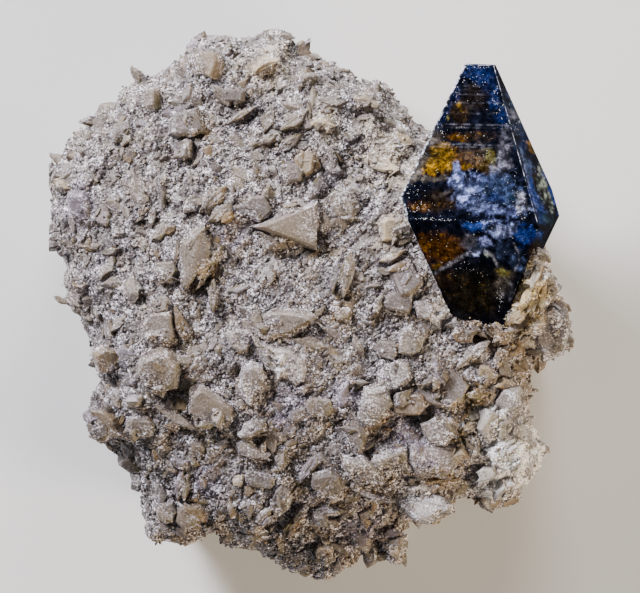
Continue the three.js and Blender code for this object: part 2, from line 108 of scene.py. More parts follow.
class Hue(Enum):
    """Colours inside the crystal, as linear values."""

    NIGHT = (0.0018, 0.0024, 0.0055)
    NAVY = (0.0015, 0.0052, 0.030)
    ROYAL = (0.0022, 0.0125, 0.085)
    AZURE = (0.012, 0.042, 0.21)
    SLATE = (0.015, 0.023, 0.052)
    SMOKE = (0.042, 0.041, 0.053)
    MIST = (0.042, 0.052, 0.12)
    MILK = (0.14, 0.17, 0.33)
    PEARL = (0.12, 0.12, 0.145)
    AMBER = (0.048, 0.0185, 0.0018)
    GOLD = (0.16, 0.08, 0.003)
    HONEY = (0.062, 0.035, 0.004)
    RUST = (0.028, 0.0102, 0.0020)
    UMBER = (0.0085, 0.0052, 0.0036)
    PITCH = (0.0046, 0.0036, 0.0022)
    MOSS = (0.062, 0.058, 0.014)
    SAGE = (0.085, 0.10, 0.088)
    TEAL = (0.0045, 0.012, 0.022)
    TAUPE = (0.062, 0.052, 0.044)


class Shape(Enum):
    """Outline of a blade seen from above, with its number of corners."""

    LEAF = 14
    DROP = 12
    SLAB = 6
    WEDGE = 3
    KNOB = 8

    def point(self, angle: float, skew: float) -> tuple[float, float]:
        """Gives the outline's point at an angle, on a blade that reaches 1 each way."""
        cosine, sine = math.cos(angle), math.sin(angle)
        if self is Shape.LEAF:
            return cosine, math.copysign(1 - abs(cosine) ** 1.5, sine) * (abs(sine) > 0.01)
        if self is Shape.DROP:
            return cosine, sine * abs(math.sin(angle / 2)) ** 1.2
        if self is Shape.SLAB:
            x = math.copysign(abs(cosine) ** 0.6, cosine)
            return x, math.copysign(abs(sine) ** 0.6, sine) + skew * x
        return cosine, sine


class Blade(NamedTuple):
    """One blade, slab or knob of the druse: its middle, size in mm, turn in degrees and look."""

    x: float
    y: float
    length: float
    width: float
    turn: float
    tint: Tint = Tint.GREY
    shape: Shape = Shape.LEAF


class TintPatch(NamedTuple):
    """A round patch of another colour on the rock, in mm: mostly stains, some painted shade,
    painted shadow and painted highlight.
    """

    x: float
    y: float
    radius: float
    tint: Tint
    strength: float = 0.8


class Cloud(NamedTuple):
    """An oval zone of colour in the crystal, in mm, turned by degrees."""

    x: float
    y: float
    reach_x: float
    reach_y: float
    turn: float
    hue: Hue
    strength: float = 0.9


class Vein(NamedTuple):
    """A thin line of colour in the crystal: its corners in mm, its half width, hue and strength."""

    corners: tuple[tuple[float, float], ...]
    half_width: float
    hue: Hue
    strength: float


BLADES = [
    Blade(*row)
    for row in [
        (-5.45, 11.95, 1.5, 1.2, 10, Tint.TAN, Shape.SLAB),
        (-6.2, 8.95, 1.75, 1.5, 20, Tint.GREY, Shape.SLAB),
        (-6.6, 7.7, 1.1, 0.95, 80, Tint.BEIGE, Shape.SLAB),
        (-12.6, 6.0, 1.2, 0.6, -30, Tint.CREAM), (-8.7, 5.55, 2.2, 1.0, -75, Tint.BEIGE),
        (-7.7, 5.5, 1.75, 0.55, -80, Tint.GREY),
        (-11.7, 4.75, 1.3, 1.1, 80, Tint.LAVENDER, Shape.SLAB),
        (-10.6, 4.5, 1.6, 0.8, -70, Tint.BROWN), (-2.35, 11.8, 1.5, 0.7, 25, Tint.CREAM),
        (-3.5, 9.45, 1.8, 0.3, 30, Tint.TAN), (-2.25, 9.25, 1.5, 0.65, 75, Tint.BEIGE),
        (-2.3, 8.2, 1.3, 0.45, 20, Tint.BEIGE), (-1.25, 7.95, 1.6, 0.65, 35, Tint.GREY),
        (0.5, 8.9, 1.4, 0.55, -5, Tint.CREAM), (0.8, 7.3, 1.7, 0.7, -70, Tint.PALE),
        (0.25, 5.9, 1.1, 0.6, 80, Tint.GREY), (1.95, 8.35, 1.0, 0.65, 15, Tint.BEIGE),
        (3.5, 6.9, 1.8, 0.8, -20, Tint.CREAM), (1.6, 5.0, 1.7, 1.3, 0, Tint.BEIGE, Shape.SLAB),
        (-0.8, 3.85, 4.1, 2.9, 180, Tint.BEIGE, Shape.WEDGE), (1.7, 1.4, 2.3, 0.7, 80, Tint.BEIGE),
        (1.1, 1.4, 1.8, 0.6, 80, Tint.GREY), (1.5, -0.45, 1.0, 0.7, 0, Tint.BEIGE, Shape.SLAB),
        (3.2, -0.2, 1.3, 0.55, 65, Tint.BEIGE), (3.95, 2.35, 1.5, 0.5, 25, Tint.CREAM),
        (4.0, 3.65, 1.3, 1.2, 90, Tint.CREAM, Shape.SLAB), (-1.6, -1.05, 3.3, 1.4, 10, Tint.BEIGE),
        (-1.6, -2.95, 3.2, 2.0, 140, Tint.PALE, Shape.DROP),
        (-0.15, -2.05, 1.7, 0.9, -15, Tint.BEIGE),
        (-3.1, -4.2, 2.15, 1.75, -95, Tint.PALE, Shape.DROP),
        (-5.2, -5.35, 2.5, 1.3, -35, Tint.BEIGE, Shape.SLAB),
        (-3.05, -6.3, 1.6, 0.8, 30, Tint.PALE), (0.35, -5.25, 1.4, 0.9, 0, Tint.BEIGE, Shape.SLAB),
        (-0.7, -5.65, 1.1, 0.6, 10, Tint.GREY, Shape.SLAB),
        (-3.65, -1.85, 1.5, 1.3, 90, Tint.PALE, Shape.SLAB),
        (-7.85, -3.5, 2.3, 2.2, 0, Tint.BEIGE, Shape.KNOB),
        (-7.7, -1.4, 1.8, 1.6, 0, Tint.BEIGE, Shape.SLAB), (-6.6, -1.1, 1.9, 0.65, -75, Tint.TAN),
        (-7.6, -0.05, 0.95, 0.95, 0, Tint.BEIGE, Shape.SLAB),
        (-10.2, -2.95, 1.4, 1.2, 90, Tint.TAN, Shape.SLAB), (-9.0, -4.9, 0.9, 0.6, 30, Tint.PALE),
        (-9.9, -4.45, 1.0, 0.8, 0, Tint.PALE, Shape.SLAB),
        (-6.95, -5.7, 2.6, 0.5, -30, Tint.BEIGE), (-10.5, -6.05, 2.0, 1.2, -45, Tint.TAN),
        (-8.7, -6.25, 1.3, 0.8, 0, Tint.BEIGE, Shape.SLAB),
        (-6.65, -9.15, 1.6, 0.5, 80, Tint.LAVENDER), (-6.38, -9.15, 1.5, 0.4, 82, Tint.OLIVE),
        (-6.6, -7.85, 1.1, 0.45, -10, Tint.LAVENDER),
        (-5.8, -7.45, 0.8, 0.7, 0, Tint.BEIGE, Shape.SLAB),
        (-7.4, -10.5, 1.0, 0.85, 0, Tint.BEIGE, Shape.SLAB),
        (-6.3, -10.75, 1.2, 1.1, 90, Tint.BEIGE, Shape.SLAB),
        (-4.1, -10.25, 0.9, 0.6, 30, Tint.BEIGE),
        (-2.65, -8.9, 1.5, 0.8, -10, Tint.GREY, Shape.SLAB), (-1.6, -7.9, 1.3, 0.6, 75, Tint.GREY),
        (-1.65, -9.9, 1.4, 0.9, 80, Tint.GREY, Shape.SLAB),
        (-2.5, -10.7, 1.1, 0.85, 40, Tint.PALE), (-3.05, -10.3, 1.2, 0.7, 0, Tint.BEIGE),
        (-1.25, -11.35, 1.1, 0.5, 60, Tint.OLIVE), (-0.7, -10.7, 1.2, 0.5, 60, Tint.GREY),
        (0.85, -9.3, 1.8, 1.7, 0, Tint.GREY, Shape.KNOB),
        (-0.2, -8.3, 1.7, 0.7, 55, Tint.LAVENDER), (2.4, -8.5, 2.7, 1.4, -36, Tint.PALE),
        (3.95, -3.6, 2.2, 1.3, 35, Tint.PALE, Shape.SLAB), (4.6, -4.4, 0.7, 0.4, 30, Tint.OCHRE),
        (3.05, -5.25, 2.2, 1.4, 65, Tint.PALE, Shape.SLAB), (2.1, -6.4, 2.3, 1.1, -75, Tint.GREY),
        (3.75, -7.6, 1.9, 0.8, 28, Tint.PALE, Shape.SLAB),
        (3.65, -2.35, 1.0, 0.85, 0, Tint.GREY, Shape.SLAB),
        (6.45, -4.2, 2.6, 1.9, 8, Tint.GREY, Shape.KNOB), (6.0, -3.9, 1.2, 0.7, 15, Tint.GREY),
        (6.35, -6.35, 1.7, 1.4, -20, Tint.PALE, Shape.SLAB),
        (5.95, -7.8, 2.8, 1.7, -10, Tint.PALE, Shape.SLAB), (6.7, -8.95, 2.6, 0.5, -5, Tint.OCHRE),
        (5.5, -10.1, 2.8, 1.6, -5, Tint.PALE), (8.98, -6.2, 1.5, 1.2, 70, Tint.BEIGE, Shape.SLAB),
        (9.7, -5.1, 2.1, 1.2, 60, Tint.PALE, Shape.SLAB),
        (8.75, -3.65, 1.1, 0.8, -45, Tint.CREAM, Shape.KNOB), (8.2, -2.4, 1.6, 0.7, 35, Tint.PALE),
        (7.5, -1.6, 1.1, 0.7, 0, Tint.TAN, Shape.SLAB),
        (12.0, -1.35, 2.6, 1.4, 75, Tint.PALE, Shape.SLAB),
        (12.4, -0.1, 1.1, 0.5, -55, Tint.LAVENDER),
        (12.75, -1.85, 0.8, 0.6, 90, Tint.GREY, Shape.KNOB), (-11.7, 0.95, 0.9, 0.5, 0, Tint.TAN),
        (-10.35, 1.4, 1.0, 0.4, 45, Tint.BEIGE), (-7.4, 1.5, 1.1, 0.9, 0, Tint.BEIGE, Shape.SLAB),
        (-6.85, 2.45, 1.4, 0.4, 80, Tint.TAN), (-9.05, 0.65, 0.9, 0.7, 0, Tint.PALE),
        (-5.05, 5.2, 1.9, 1.0, 40, Tint.TAN), (-4.55, 4.55, 1.5, 0.7, 35, Tint.BEIGE),
        (-6.1, 4.95, 0.9, 0.7, 0, Tint.BEIGE, Shape.SLAB), (-5.9, 2.3, 3.3, 1.5, 75, Tint.BEIGE),
        (-5.2, 1.75, 2.4, 0.4, 60, Tint.OLIVE), (-3.0, 4.75, 1.4, 1.4, 45, Tint.GREY, Shape.SLAB),
        (-5.0, 0.4, 1.7, 0.5, 90, Tint.BEIGE), (-4.1, 10.45, 1.4, 0.8, 0, Tint.GREY, Shape.SLAB),
        (-0.3, 7.15, 1.2, 1.0, 0, Tint.TAN, Shape.SLAB),
        (-1.15, 6.55, 1.2, 1.0, 0, Tint.GREY, Shape.SLAB), (-0.9, 9.15, 1.8, 0.6, 35, Tint.BEIGE),
        (2.85, -9.6, 2.4, 0.5, -20, Tint.PALE), (0.85, -10.4, 1.6, 0.5, 0, Tint.GREY),
        (0.6, -12.6, 1.1, 0.9, 0, Tint.CREAM, Shape.KNOB),
        (4.1, -12.25, 0.7, 0.6, 90, Tint.CREAM, Shape.KNOB),
        (3.95, -11.6, 0.8, 0.5, 0, Tint.LAVENDER), (1.6, -4.6, 1.3, 0.6, 80, Tint.LAVENDER),
        (4.7, -5.05, 1.7, 1.1, 0, Tint.TAN, Shape.KNOB),
        (-2.9, -7.5, 1.9, 1.1, -25, Tint.PALE, Shape.DROP),
        (8.1, -4.6, 0.9, 0.6, 0, Tint.OLIVE, Shape.KNOB), (7.95, -6.2, 0.9, 0.55, 25, Tint.TAN),
        (7.95, -7.1, 1.1, 0.6, -40, Tint.BEIGE),
        (7.45, -7.9, 0.9, 0.8, 80, Tint.CREAM, Shape.SLAB),
        (8.7, -8.6, 0.9, 0.8, 0, Tint.BEIGE, Shape.SLAB),
        (9.06, -10.0, 1.0, 0.9, 0, Tint.CREAM, Shape.KNOB),
        (9.9, -9.9, 0.9, 0.9, 0, Tint.CREAM, Shape.KNOB), (9.7, -7.0, 1.2, 0.7, 40, Tint.PALE),
        (10.6, -6.6, 1.5, 0.8, -50, Tint.BEIGE),
        (9.85, -4.95, 1.5, 1.2, 90, Tint.PALE, Shape.SLAB), (9.75, -4.1, 1.3, 0.7, 0, Tint.CREAM),
        (11.2, 1.6, 2.0, 0.6, 72, Tint.CREAM), (10.75, 0.4, 1.8, 0.6, 65, Tint.STRAW_LIT),
        (11.4, 0.4, 1.9, 0.5, 75, Tint.TAN), (10.2, -0.7, 1.2, 0.6, 40, Tint.CREAM),
        (11.0, -1.1, 1.0, 0.7, 20, Tint.CREAM), (9.6, -1.7, 1.1, 0.8, 30, Tint.OCHRE),
        (10.1, -2.2, 1.0, 0.8, 60, Tint.OCHRE), (9.3, -2.8, 1.0, 0.6, 80, Tint.TAN),
        (10.3, -3.1, 1.1, 0.7, -30, Tint.CREAM), (6.15, -0.9, 1.1, 0.5, -60, Tint.PALE),
        (4.7, 1.35, 2.0, 1.3, -65, Tint.GREY, Shape.SLAB),
        (4.35, 0.0, 1.5, 1.2, 0, Tint.GREY, Shape.SLAB),
        (5.45, -0.25, 1.1, 1.0, 0, Tint.PALE, Shape.SLAB),
        (4.85, -1.9, 1.5, 1.2, 80, Tint.PALE, Shape.SLAB), (11.5, -2.1, 1.9, 0.6, -8, Tint.BEIGE),
        (-9.6, 8.4, 1.2, 0.8, 40, Tint.GREY), (-7.8, 10.2, 1.3, 0.8, 70, Tint.BEIGE, Shape.SLAB),
        (2.6, 10.0, 1.4, 0.7, -20, Tint.CREAM), (-0.2, 11.1, 1.2, 0.7, 30, Tint.BEIGE),
        (4.6, 8.2, 1.2, 0.8, -35, Tint.CREAM), (-9.25, 7.3, 0.6, 0.6, 0, Tint.OCHRE, Shape.KNOB),
        (-8.1, -8.2, 0.6, 0.35, 90, Tint.OLIVE),
        (-3.85, 6.45, 0.65, 0.6, 0, Tint.OCHRE, Shape.KNOB),
        (-7.15, 3.65, 0.6, 0.5, 0, Tint.OCHRE, Shape.KNOB),
        (-4.35, 4.3, 0.7, 0.55, 0, Tint.OCHRE, Shape.KNOB),
        (-4.8, 6.75, 0.6, 0.5, 0, Tint.BROWN, Shape.KNOB),
        (-3.2, -9.4, 0.6, 0.6, 0, Tint.OCHRE, Shape.KNOB),
        (3.6, -6.4, 0.6, 0.5, 0, Tint.TAN, Shape.KNOB),
        (8.0, -5.6, 0.7, 0.45, -20, Tint.OLIVE, Shape.KNOB),
        (-5.55, -9.95, 0.8, 0.4, 0, Tint.BEIGE), (-10.0, 6.35, 0.8, 0.4, -65, Tint.GREY),
        (-3.75, -8.9, 0.7, 0.6, 0, Tint.CREAM, Shape.SLAB),
        (1.95, -10.6, 0.7, 0.7, 0, Tint.BROWN, Shape.SLAB),
        (-5.85, 10.2, 0.7, 0.7, 0, Tint.GREY, Shape.SLAB),
    ]
]

TINT_PATCHES = [
    TintPatch(*row)
    for row in [
        (0.6, 2.65, 0.9, Tint.OCHRE), (1.5, -0.5, 1.0, Tint.OCHRE), (-5.5, 8.6, 0.7, Tint.OCHRE),
        (-7.2, -4.3, 1.1, Tint.OCHRE), (-4.2, 4.2, 0.8, Tint.OCHRE), (-0.3, 7.1, 0.9, Tint.TAN),
        (8.4, -0.9, 1.3, Tint.OCHRE), (9.8, -2.2, 1.3, Tint.OCHRE),
        # The straw patches on the ridge beside the crystal are partly its colour, partly lightened
        # as painted light against the crystal's shadow.
        (10.8, 0.7, 1.9, Tint.STRAW_LIT, 1.0), (10.6, -0.9, 1.2, Tint.STRAW_LIT, 0.7),
        (11.5, 1.6, 0.7, Tint.WHITE, 0.9), (-4.1, 3.4, 0.9, Tint.LAVENDER),
        # (-6.35, -2.1) is an olive painted shadow on the low side of a step.
        (-2.0, 1.9, 0.8, Tint.WHITE, 0.35), (-6.35, -2.1, 0.6, Tint.OLIVE),
        (8.0, -4.9, 1.4, Tint.OCHRE), (7.4, -6.8, 1.2, Tint.OLIVE), (6.2, -8.8, 1.3, Tint.OCHRE),
        (1.5, -5.6, 0.9, Tint.BROWN), (3.5, -6.9, 1.1, Tint.BROWN), (2.9, -10.0, 1.5, Tint.BROWN),
        (1.6, -12.6, 1.3, Tint.OCHRE), (3.6, -12.1, 1.0, Tint.OCHRE),
        (-4.9, -10.6, 1.0, Tint.BROWN), (-8.4, -5.2, 0.8, Tint.OLIVE),
        (-5.4, -6.8, 0.7, Tint.OLIVE), (-2.3, -5.6, 0.9, Tint.BROWN),
        # (-2.3, -12.0) is a brown painted shadow near the bottom edge.
        (-10.7, -6.3, 1.3, Tint.BROWN, 0.6), (-2.3, -12.0, 1.8, Tint.BROWN),
        # The wide dark patches at (-9.3, -7.3), (-2.5, -12.8) and (-10.5, -3.0) are painted shade
        # over the lower left and the bottom.
        (-5.4, 1.6, 0.8, Tint.OCHRE), (-9.3, -7.3, 4.8, Tint.PAINTED_SHADE, 0.9),
        (-2.5, -12.8, 6.6, Tint.PAINTED_SHADE, 1.0), (-10.5, -3.0, 2.8, Tint.PAINTED_SHADE, 0.7),
        (3.6, 7.3, 1.9, Tint.CREAM), (4.2, 3.6, 1.2, Tint.CREAM), (-2.3, 11.8, 1.3, Tint.CREAM),
        # The patches at (10.1, -7.3) and (9.2, -8.9) are partly white rock, partly a painted
        # highlight.
        (0.5, 8.9, 1.1, Tint.CREAM, 0.6), (10.1, -7.3, 2.5, Tint.SNOW_HIGHLIGHT, 1.0),
        (9.2, -8.9, 1.4, Tint.SNOW_HIGHLIGHT, 0.8), (5.4, -10.0, 1.5, Tint.WHITE, 0.6),
        (-1.6, -2.9, 1.3, Tint.WHITE, 0.5), (6.4, -0.4, 0.9, Tint.WHITE),
        (-8.9, -4.9, 0.9, Tint.WHITE, 0.6), (-11.7, 4.8, 1.3, Tint.LAVENDER),
        (4.4, -6.3, 1.3, Tint.LAVENDER), (1.6, -4.6, 1.0, Tint.LAVENDER),
        (-1.2, -5.2, 1.5, Tint.LAVENDER), (5.9, -7.3, 1.3, Tint.LAVENDER),
        (2.4, -11.2, 1.5, Tint.LAVENDER), (-5.4, -8.9, 1.1, Tint.LAVENDER),
        (8.2, -7.0, 0.9, Tint.BROWN, 0.6), (10.3, -8.9, 1.2, Tint.WHITE, 0.6),
    ]
]

CLOUDS = [
    Cloud(*row)
    for row in [
        (8.3, 11.5, 0.9, 0.65, 0, Hue.NAVY, 1.0), (8.75, 10.9, 0.5, 0.6, 0, Hue.NAVY, 0.7),
        (8.1, 10.3, 0.8, 0.7, 0, Hue.UMBER, 0.6), (7.5, 9.6, 0.6, 0.5, 0, Hue.TAUPE, 0.22),
        (7.15, 10.35, 0.25, 0.5, -25, Hue.NAVY, 0.45), (9.05, 10.2, 0.28, 0.5, 0, Hue.ROYAL, 0.4),
        (9.35, 9.2, 0.42, 0.5, 0, Hue.ROYAL, 0.35), (6.4, 9.3, 0.35, 0.8, -25, Hue.NAVY, 0.45),
        (7.35, 9.5, 0.55, 0.8, 0, Hue.UMBER, 1.0), (7.3, 9.85, 0.08, 0.24, 0, Hue.HONEY, 0.7),
        (7.55, 9.75, 0.07, 0.15, 0, Hue.AMBER, 0.6), (6.75, 9.2, 0.11, 0.17, 0, Hue.MOSS, 1.0),
        (6.2, 8.35, 0.5, 0.4, 0, Hue.TAUPE, 0.55), (7.7, 8.3, 1.5, 0.35, -2, Hue.UMBER, 0.9),
        (7.3, 8.3, 0.6, 0.25, 0, Hue.AMBER, 0.75), (9.6, 8.4, 0.4, 0.4, 0, Hue.SMOKE, 0.5),
        (5.3, 7.0, 1.4, 0.45, 63, Hue.TAUPE, 0.7), (6.55, 7.5, 0.6, 0.4, 0, Hue.HONEY, 0.85),
        (6.4, 6.95, 0.75, 0.65, 20, Hue.HONEY, 0.9), (6.15, 6.7, 0.6, 0.3, 25, Hue.GOLD, 0.9),
        (6.6, 7.2, 0.35, 0.3, 0, Hue.GOLD, 0.5), (5.95, 6.45, 0.3, 0.18, 0, Hue.GOLD, 0.6),
        (7.75, 7.3, 0.85, 0.45, 0, Hue.AMBER, 0.7), (8.1, 7.4, 0.9, 0.45, 0, Hue.TAUPE, 0.4),
        (8.3, 7.5, 0.7, 0.25, 0, Hue.UMBER, 0.6), (7.65, 6.85, 0.35, 0.15, 0, Hue.GOLD, 0.9),
        (8.55, 6.8, 0.55, 0.4, 0, Hue.HONEY, 0.6), (8.9, 7.3, 0.35, 0.5, 10, Hue.MOSS, 0.5),
        (9.5, 7.2, 0.45, 0.9, 12, Hue.SMOKE, 1.0), (9.2, 6.5, 0.6, 0.5, 0, Hue.SMOKE, 0.8),
        (7.2, 6.65, 0.2, 0.45, 0, Hue.MIST, 1.0), (7.45, 5.95, 0.75, 0.75, 0, Hue.MIST, 0.9),
        (8.3, 5.2, 0.9, 0.6, 0, Hue.MIST, 0.6), (7.15, 6.2, 0.2, 0.5, 0, Hue.MILK, 0.5),
        (7.55, 5.65, 0.5, 0.25, 0, Hue.MILK, 0.6), (7.4, 5.15, 0.35, 0.3, 0, Hue.MILK, 0.35),
        (8.3, 4.85, 0.5, 0.25, 0, Hue.MILK, 0.2), (9.3, 5.7, 1.0, 0.85, 0, Hue.SLATE, 1.0),
        (8.8, 6.15, 0.55, 0.3, 0, Hue.SLATE, 0.9), (9.95, 5.35, 0.32, 0.22, 0, Hue.TEAL, 1.0),
        (8.95, 5.15, 0.5, 0.35, 0, Hue.NAVY, 0.8), (9.5, 4.55, 1.1, 0.22, 0, Hue.MIST, 0.7),
        (10.35, 4.9, 0.28, 0.6, 18, Hue.PEARL, 0.7), (10.6, 4.6, 0.14, 0.4, 18, Hue.MILK, 0.3),
        (5.9, 6.15, 0.8, 0.14, 0, Hue.TAUPE, 0.7), (5.05, 5.6, 0.8, 0.42, 0, Hue.NIGHT, 1.0),
        (6.3, 5.15, 0.85, 0.7, 0, Hue.UMBER, 1.0), (6.5, 5.4, 0.5, 0.12, 20, Hue.TAUPE, 0.6),
        (5.3, 4.75, 0.6, 0.32, 0, Hue.RUST, 0.7), (6.7, 4.5, 0.5, 0.2, 0, Hue.NIGHT, 0.8),
        (6.1, 3.8, 1.5, 0.28, -2, Hue.NIGHT, 1.0), (8.05, 3.8, 0.75, 0.28, -3, Hue.ROYAL, 1.0),
        (8.1, 3.82, 0.65, 0.2, -3, Hue.AZURE, 1.0), (9.25, 3.7, 0.8, 0.38, 0, Hue.MIST, 1.0),
        (9.4, 3.65, 0.75, 0.32, 0, Hue.MILK, 0.75), (10.65, 3.35, 0.75, 0.45, 0, Hue.ROYAL, 1.0),
        (6.3, 2.75, 1.3, 0.75, -5, Hue.RUST, 1.0), (5.5, 3.1, 0.3, 0.5, 25, Hue.AMBER, 1.0),
        (6.35, 3.0, 0.6, 0.35, 0, Hue.AMBER, 0.5), (7.2, 3.0, 0.4, 0.4, 0, Hue.UMBER, 0.6),
        (7.95, 3.05, 0.5, 0.4, 0, Hue.SMOKE, 0.7), (8.6, 3.05, 0.4, 0.35, 0, Hue.MIST, 1.0),
        (8.6, 3.05, 0.35, 0.3, 0, Hue.MILK, 0.55), (8.35, 2.65, 0.5, 0.2, 0, Hue.SLATE, 0.8),
        (8.1, 0.55, 2.2, 1.45, 0, Hue.PITCH, 1.0), (6.5, 1.1, 0.6, 0.7, 25, Hue.UMBER, 0.8),
        (9.5, 2.75, 0.55, 0.62, 0, Hue.NIGHT, 1.0), (9.5, 2.6, 0.5, 0.5, 0, Hue.SLATE, 0.4),
        (9.2, 1.9, 0.45, 0.4, 0, Hue.NIGHT, 0.9), (10.2, 2.1, 0.35, 0.8, 12, Hue.SLATE, 0.9),
        (8.65, 2.4, 0.3, 0.16, -20, Hue.SAGE, 0.9), (8.2, 2.5, 0.5, 0.14, 15, Hue.MILK, 0.8),
        (9.4, 1.0, 0.5, 0.9, 0, Hue.TAUPE, 0.3), (6.2, 1.85, 0.3, 0.17, 20, Hue.HONEY, 0.9),
        (9.45, 1.6, 0.3, 0.25, 0, Hue.MOSS, 0.8), (9.8, 0.5, 0.35, 0.55, 0, Hue.SMOKE, 0.6),
        (10.1, 9.3, 0.4, 1.2, 25, Hue.SLATE, 0.35), (10.0, 9.35, 0.2, 0.3, 0, Hue.SMOKE, 0.7),
        (10.6, 7.9, 0.3, 0.6, 25, Hue.NAVY, 0.7), (10.9, 7.8, 0.18, 0.3, 30, Hue.HONEY, 0.8),
        (10.75, 6.5, 0.35, 1.3, 20, Hue.SLATE, 0.8), (11.1, 5.2, 0.3, 1.2, 14, Hue.ROYAL, 0.9),
        (11.15, 6.2, 0.12, 0.5, 15, Hue.UMBER, 1.0), (11.65, 5.6, 0.25, 1.0, 15, Hue.SAGE, 0.7),
        (12.1, 5.5, 0.22, 1.3, 18, Hue.ROYAL, 1.0), (11.75, 4.2, 0.4, 0.4, 0, Hue.TEAL, 0.9),
        (11.0, 2.7, 0.4, 0.5, 0, Hue.UMBER, 0.8),
    ]
]

VEINS = [
    Vein(*row)
    for row in [
        (((7.3, 10.86), (9.05, 10.82)), 0.022, Hue.PEARL, 0.25),
        (((7.2, 10.62), (9.15, 10.58)), 0.02, Hue.PEARL, 0.18),
        (((7.05, 10.42), (9.25, 10.37)), 0.022, Hue.PEARL, 0.25),
        (((8.7, 10.2), (9.25, 10.19)), 0.03, Hue.MIST, 0.8),
        (((8.7, 10.0), (9.3, 9.98)), 0.028, Hue.MIST, 0.6),
        (((6.9, 10.02), (9.35, 9.96)), 0.02, Hue.PEARL, 0.3),
        (((6.6, 9.5), (9.4, 9.44)), 0.02, Hue.PEARL, 0.25),
        (((6.2, 8.93), (9.75, 8.84)), 0.028, Hue.PEARL, 0.5),
        (((6.3, 8.78), (9.75, 8.7)), 0.025, Hue.PEARL, 0.35),
        (((5.75, 7.97), (10.0, 7.85)), 0.028, Hue.PEARL, 0.5),
        (((6.0, 7.82), (9.3, 7.74)), 0.02, Hue.PEARL, 0.35),
        (((4.9, 6.28), (7.0, 6.22)), 0.03, Hue.TAUPE, 0.6),
        (
            ((5.85, 1.42), (6.55, 1.78), (7.15, 2.12), (7.6, 2.42), (8.1, 2.62)),
            0.085, Hue.PEARL, 0.9,
        ),
        (((8.1, 2.62), (8.55, 2.66), (8.95, 2.35), (9.25, 1.75)), 0.06, Hue.PEARL, 0.8),
        (((10.0, 2.95), (10.22, 2.5), (10.25, 2.05), (10.08, 1.65)), 0.035, Hue.PEARL, 0.95),
        (((10.35, 7.75), (10.7, 6.1), (11.25, 4.2)), 0.03, Hue.MILK, 0.5),
        (((6.9, 5.2), (7.15, 5.6), (7.0, 6.1), (7.25, 6.6)), 0.05, Hue.MILK, 0.45),
        (((7.7, 4.6), (8.6, 4.9), (9.6, 4.7), (10.4, 5.1)), 0.04, Hue.MILK, 0.35),
        (((8.2, 6.3), (8.9, 6.0), (9.3, 6.3), (9.9, 6.6)), 0.04, Hue.MIST, 0.6),
        (((8.4, 4.1), (10.2, 4.05)), 0.06, Hue.MIST, 0.6),
        (((11.35, 7.0), (11.9, 5.3)), 0.03, Hue.SAGE, 0.7),
    ]
]

# Where white dust lies thick on the crystal: middle and reach in mm, and how many flakes
DUST_DRIFTS = [
    (8.3, 11.75, 0.8, 0.08, 26), (8.1, 11.1, 0.6, 0.3, 22), (7.2, 10.4, 0.15, 0.6, 16),
    (9.1, 10.4, 0.15, 0.6, 20), (6.4, 9.2, 0.2, 0.6, 14), (9.4, 9.3, 0.25, 0.6, 24),
    (7.6, 8.3, 1.5, 0.25, 26), (6.2, 6.9, 0.7, 0.6, 14), (4.9, 5.6, 0.4, 0.4, 26),
    (5.4, 4.8, 0.5, 0.3, 34), (5.5, 4.2, 0.6, 0.04, 34), (6.6, 4.13, 0.5, 0.04, 22),
    (8.4, 4.06, 0.9, 0.04, 22), (10.3, 9.1, 0.25, 0.6, 30), (8.2, 5.3, 1.0, 0.8, 50),
    (10.3, 5.2, 0.5, 1.1, 40), (5.9, 3.0, 0.7, 0.5, 16), (9.35, 0.3, 0.14, 0.45, 46),
    (8.2, 2.5, 0.5, 0.15, 22), (7.0, 2.0, 0.9, 0.12, 16), (11.4, 6.0, 0.3, 1.2, 30),
    (8.3, 7.0, 1.3, 0.6, 30), (8.2, 1.5, 1.2, 0.6, 14), (10.1, 9.4, 0.3, 0.7, 16),
    (9.2, 3.6, 0.8, 0.3, 24),
]


def noise_at(points: np.ndarray, scale: float, octaves: int = 1, shift: float = 0.0) -> np.ndarray:
    """Reads smooth noise at many points.

    Args:
        points: Places in mm, one row each.
        scale: Waves per mm.
        octaves: How many finer layers are added.
        shift: Moves the pattern, so that two uses differ.

    Returns:
        One value a point, mostly between -1 and 1.
    """
    moved = points * scale + shift
    return np.array([noise.fractal(row, 0.8, 2.1, octaves) for row in moved.tolist()])


def facets_at(
    points: np.ndarray, scale: float, shift: float = 0.0
) -> tuple[np.ndarray, np.ndarray]:
    """Reads a pattern of tilted facets, as packed small crystals have.

    Args:
        points: Places in mm, one row each.
        scale: Facets per mm.
        shift: Moves the pattern.

    Returns:
        The height over each facet's middle, and how near the border between facets a point is.
    """
    heights = np.empty(len(points))
    borders = np.empty(len(points))
    for index, row in enumerate((points * scale + shift).tolist()):
        distances, middles = noise.voronoi(row)
        middle = middles[0]
        spot = middle * 7.3
        tilt = Vector([noise.noise(spot + Vector((along, 0, 0))) for along in TILT_SHIFTS])
        heights[index] = tilt.dot(Vector(row) - middle)
        borders[index] = distances[1] - distances[0]
    return heights, borders


def distance_to_line(points: np.ndarray, start: np.ndarray, end: np.ndarray) -> np.ndarray:
    """Measures how far each point is from the straight stretch between two places."""
    line = end - start
    reach = np.clip((points - start) @ line / (line @ line), 0, 1)
    return np.linalg.norm(points - start - reach[:, None] * line, axis=1)


def look_down(surface: BVHTree, x: float, y: float) -> tuple[Vector | None, Vector | None]:
    """Finds where a line straight down first meets a surface, and the direction square to it."""
    hit, normal, _, _ = surface.ray_cast(Vector((x, y, SKY)), Vector((0, 0, -1)))
    return hit, normal


def blend(colours: np.ndarray, weight: np.ndarray, colour: Colour) -> np.ndarray:
    """Mixes one colour into rows of colours, by a weight for each row."""
    share = weight[:, None]
    return (1 - share) * colours + share * np.array(colour)


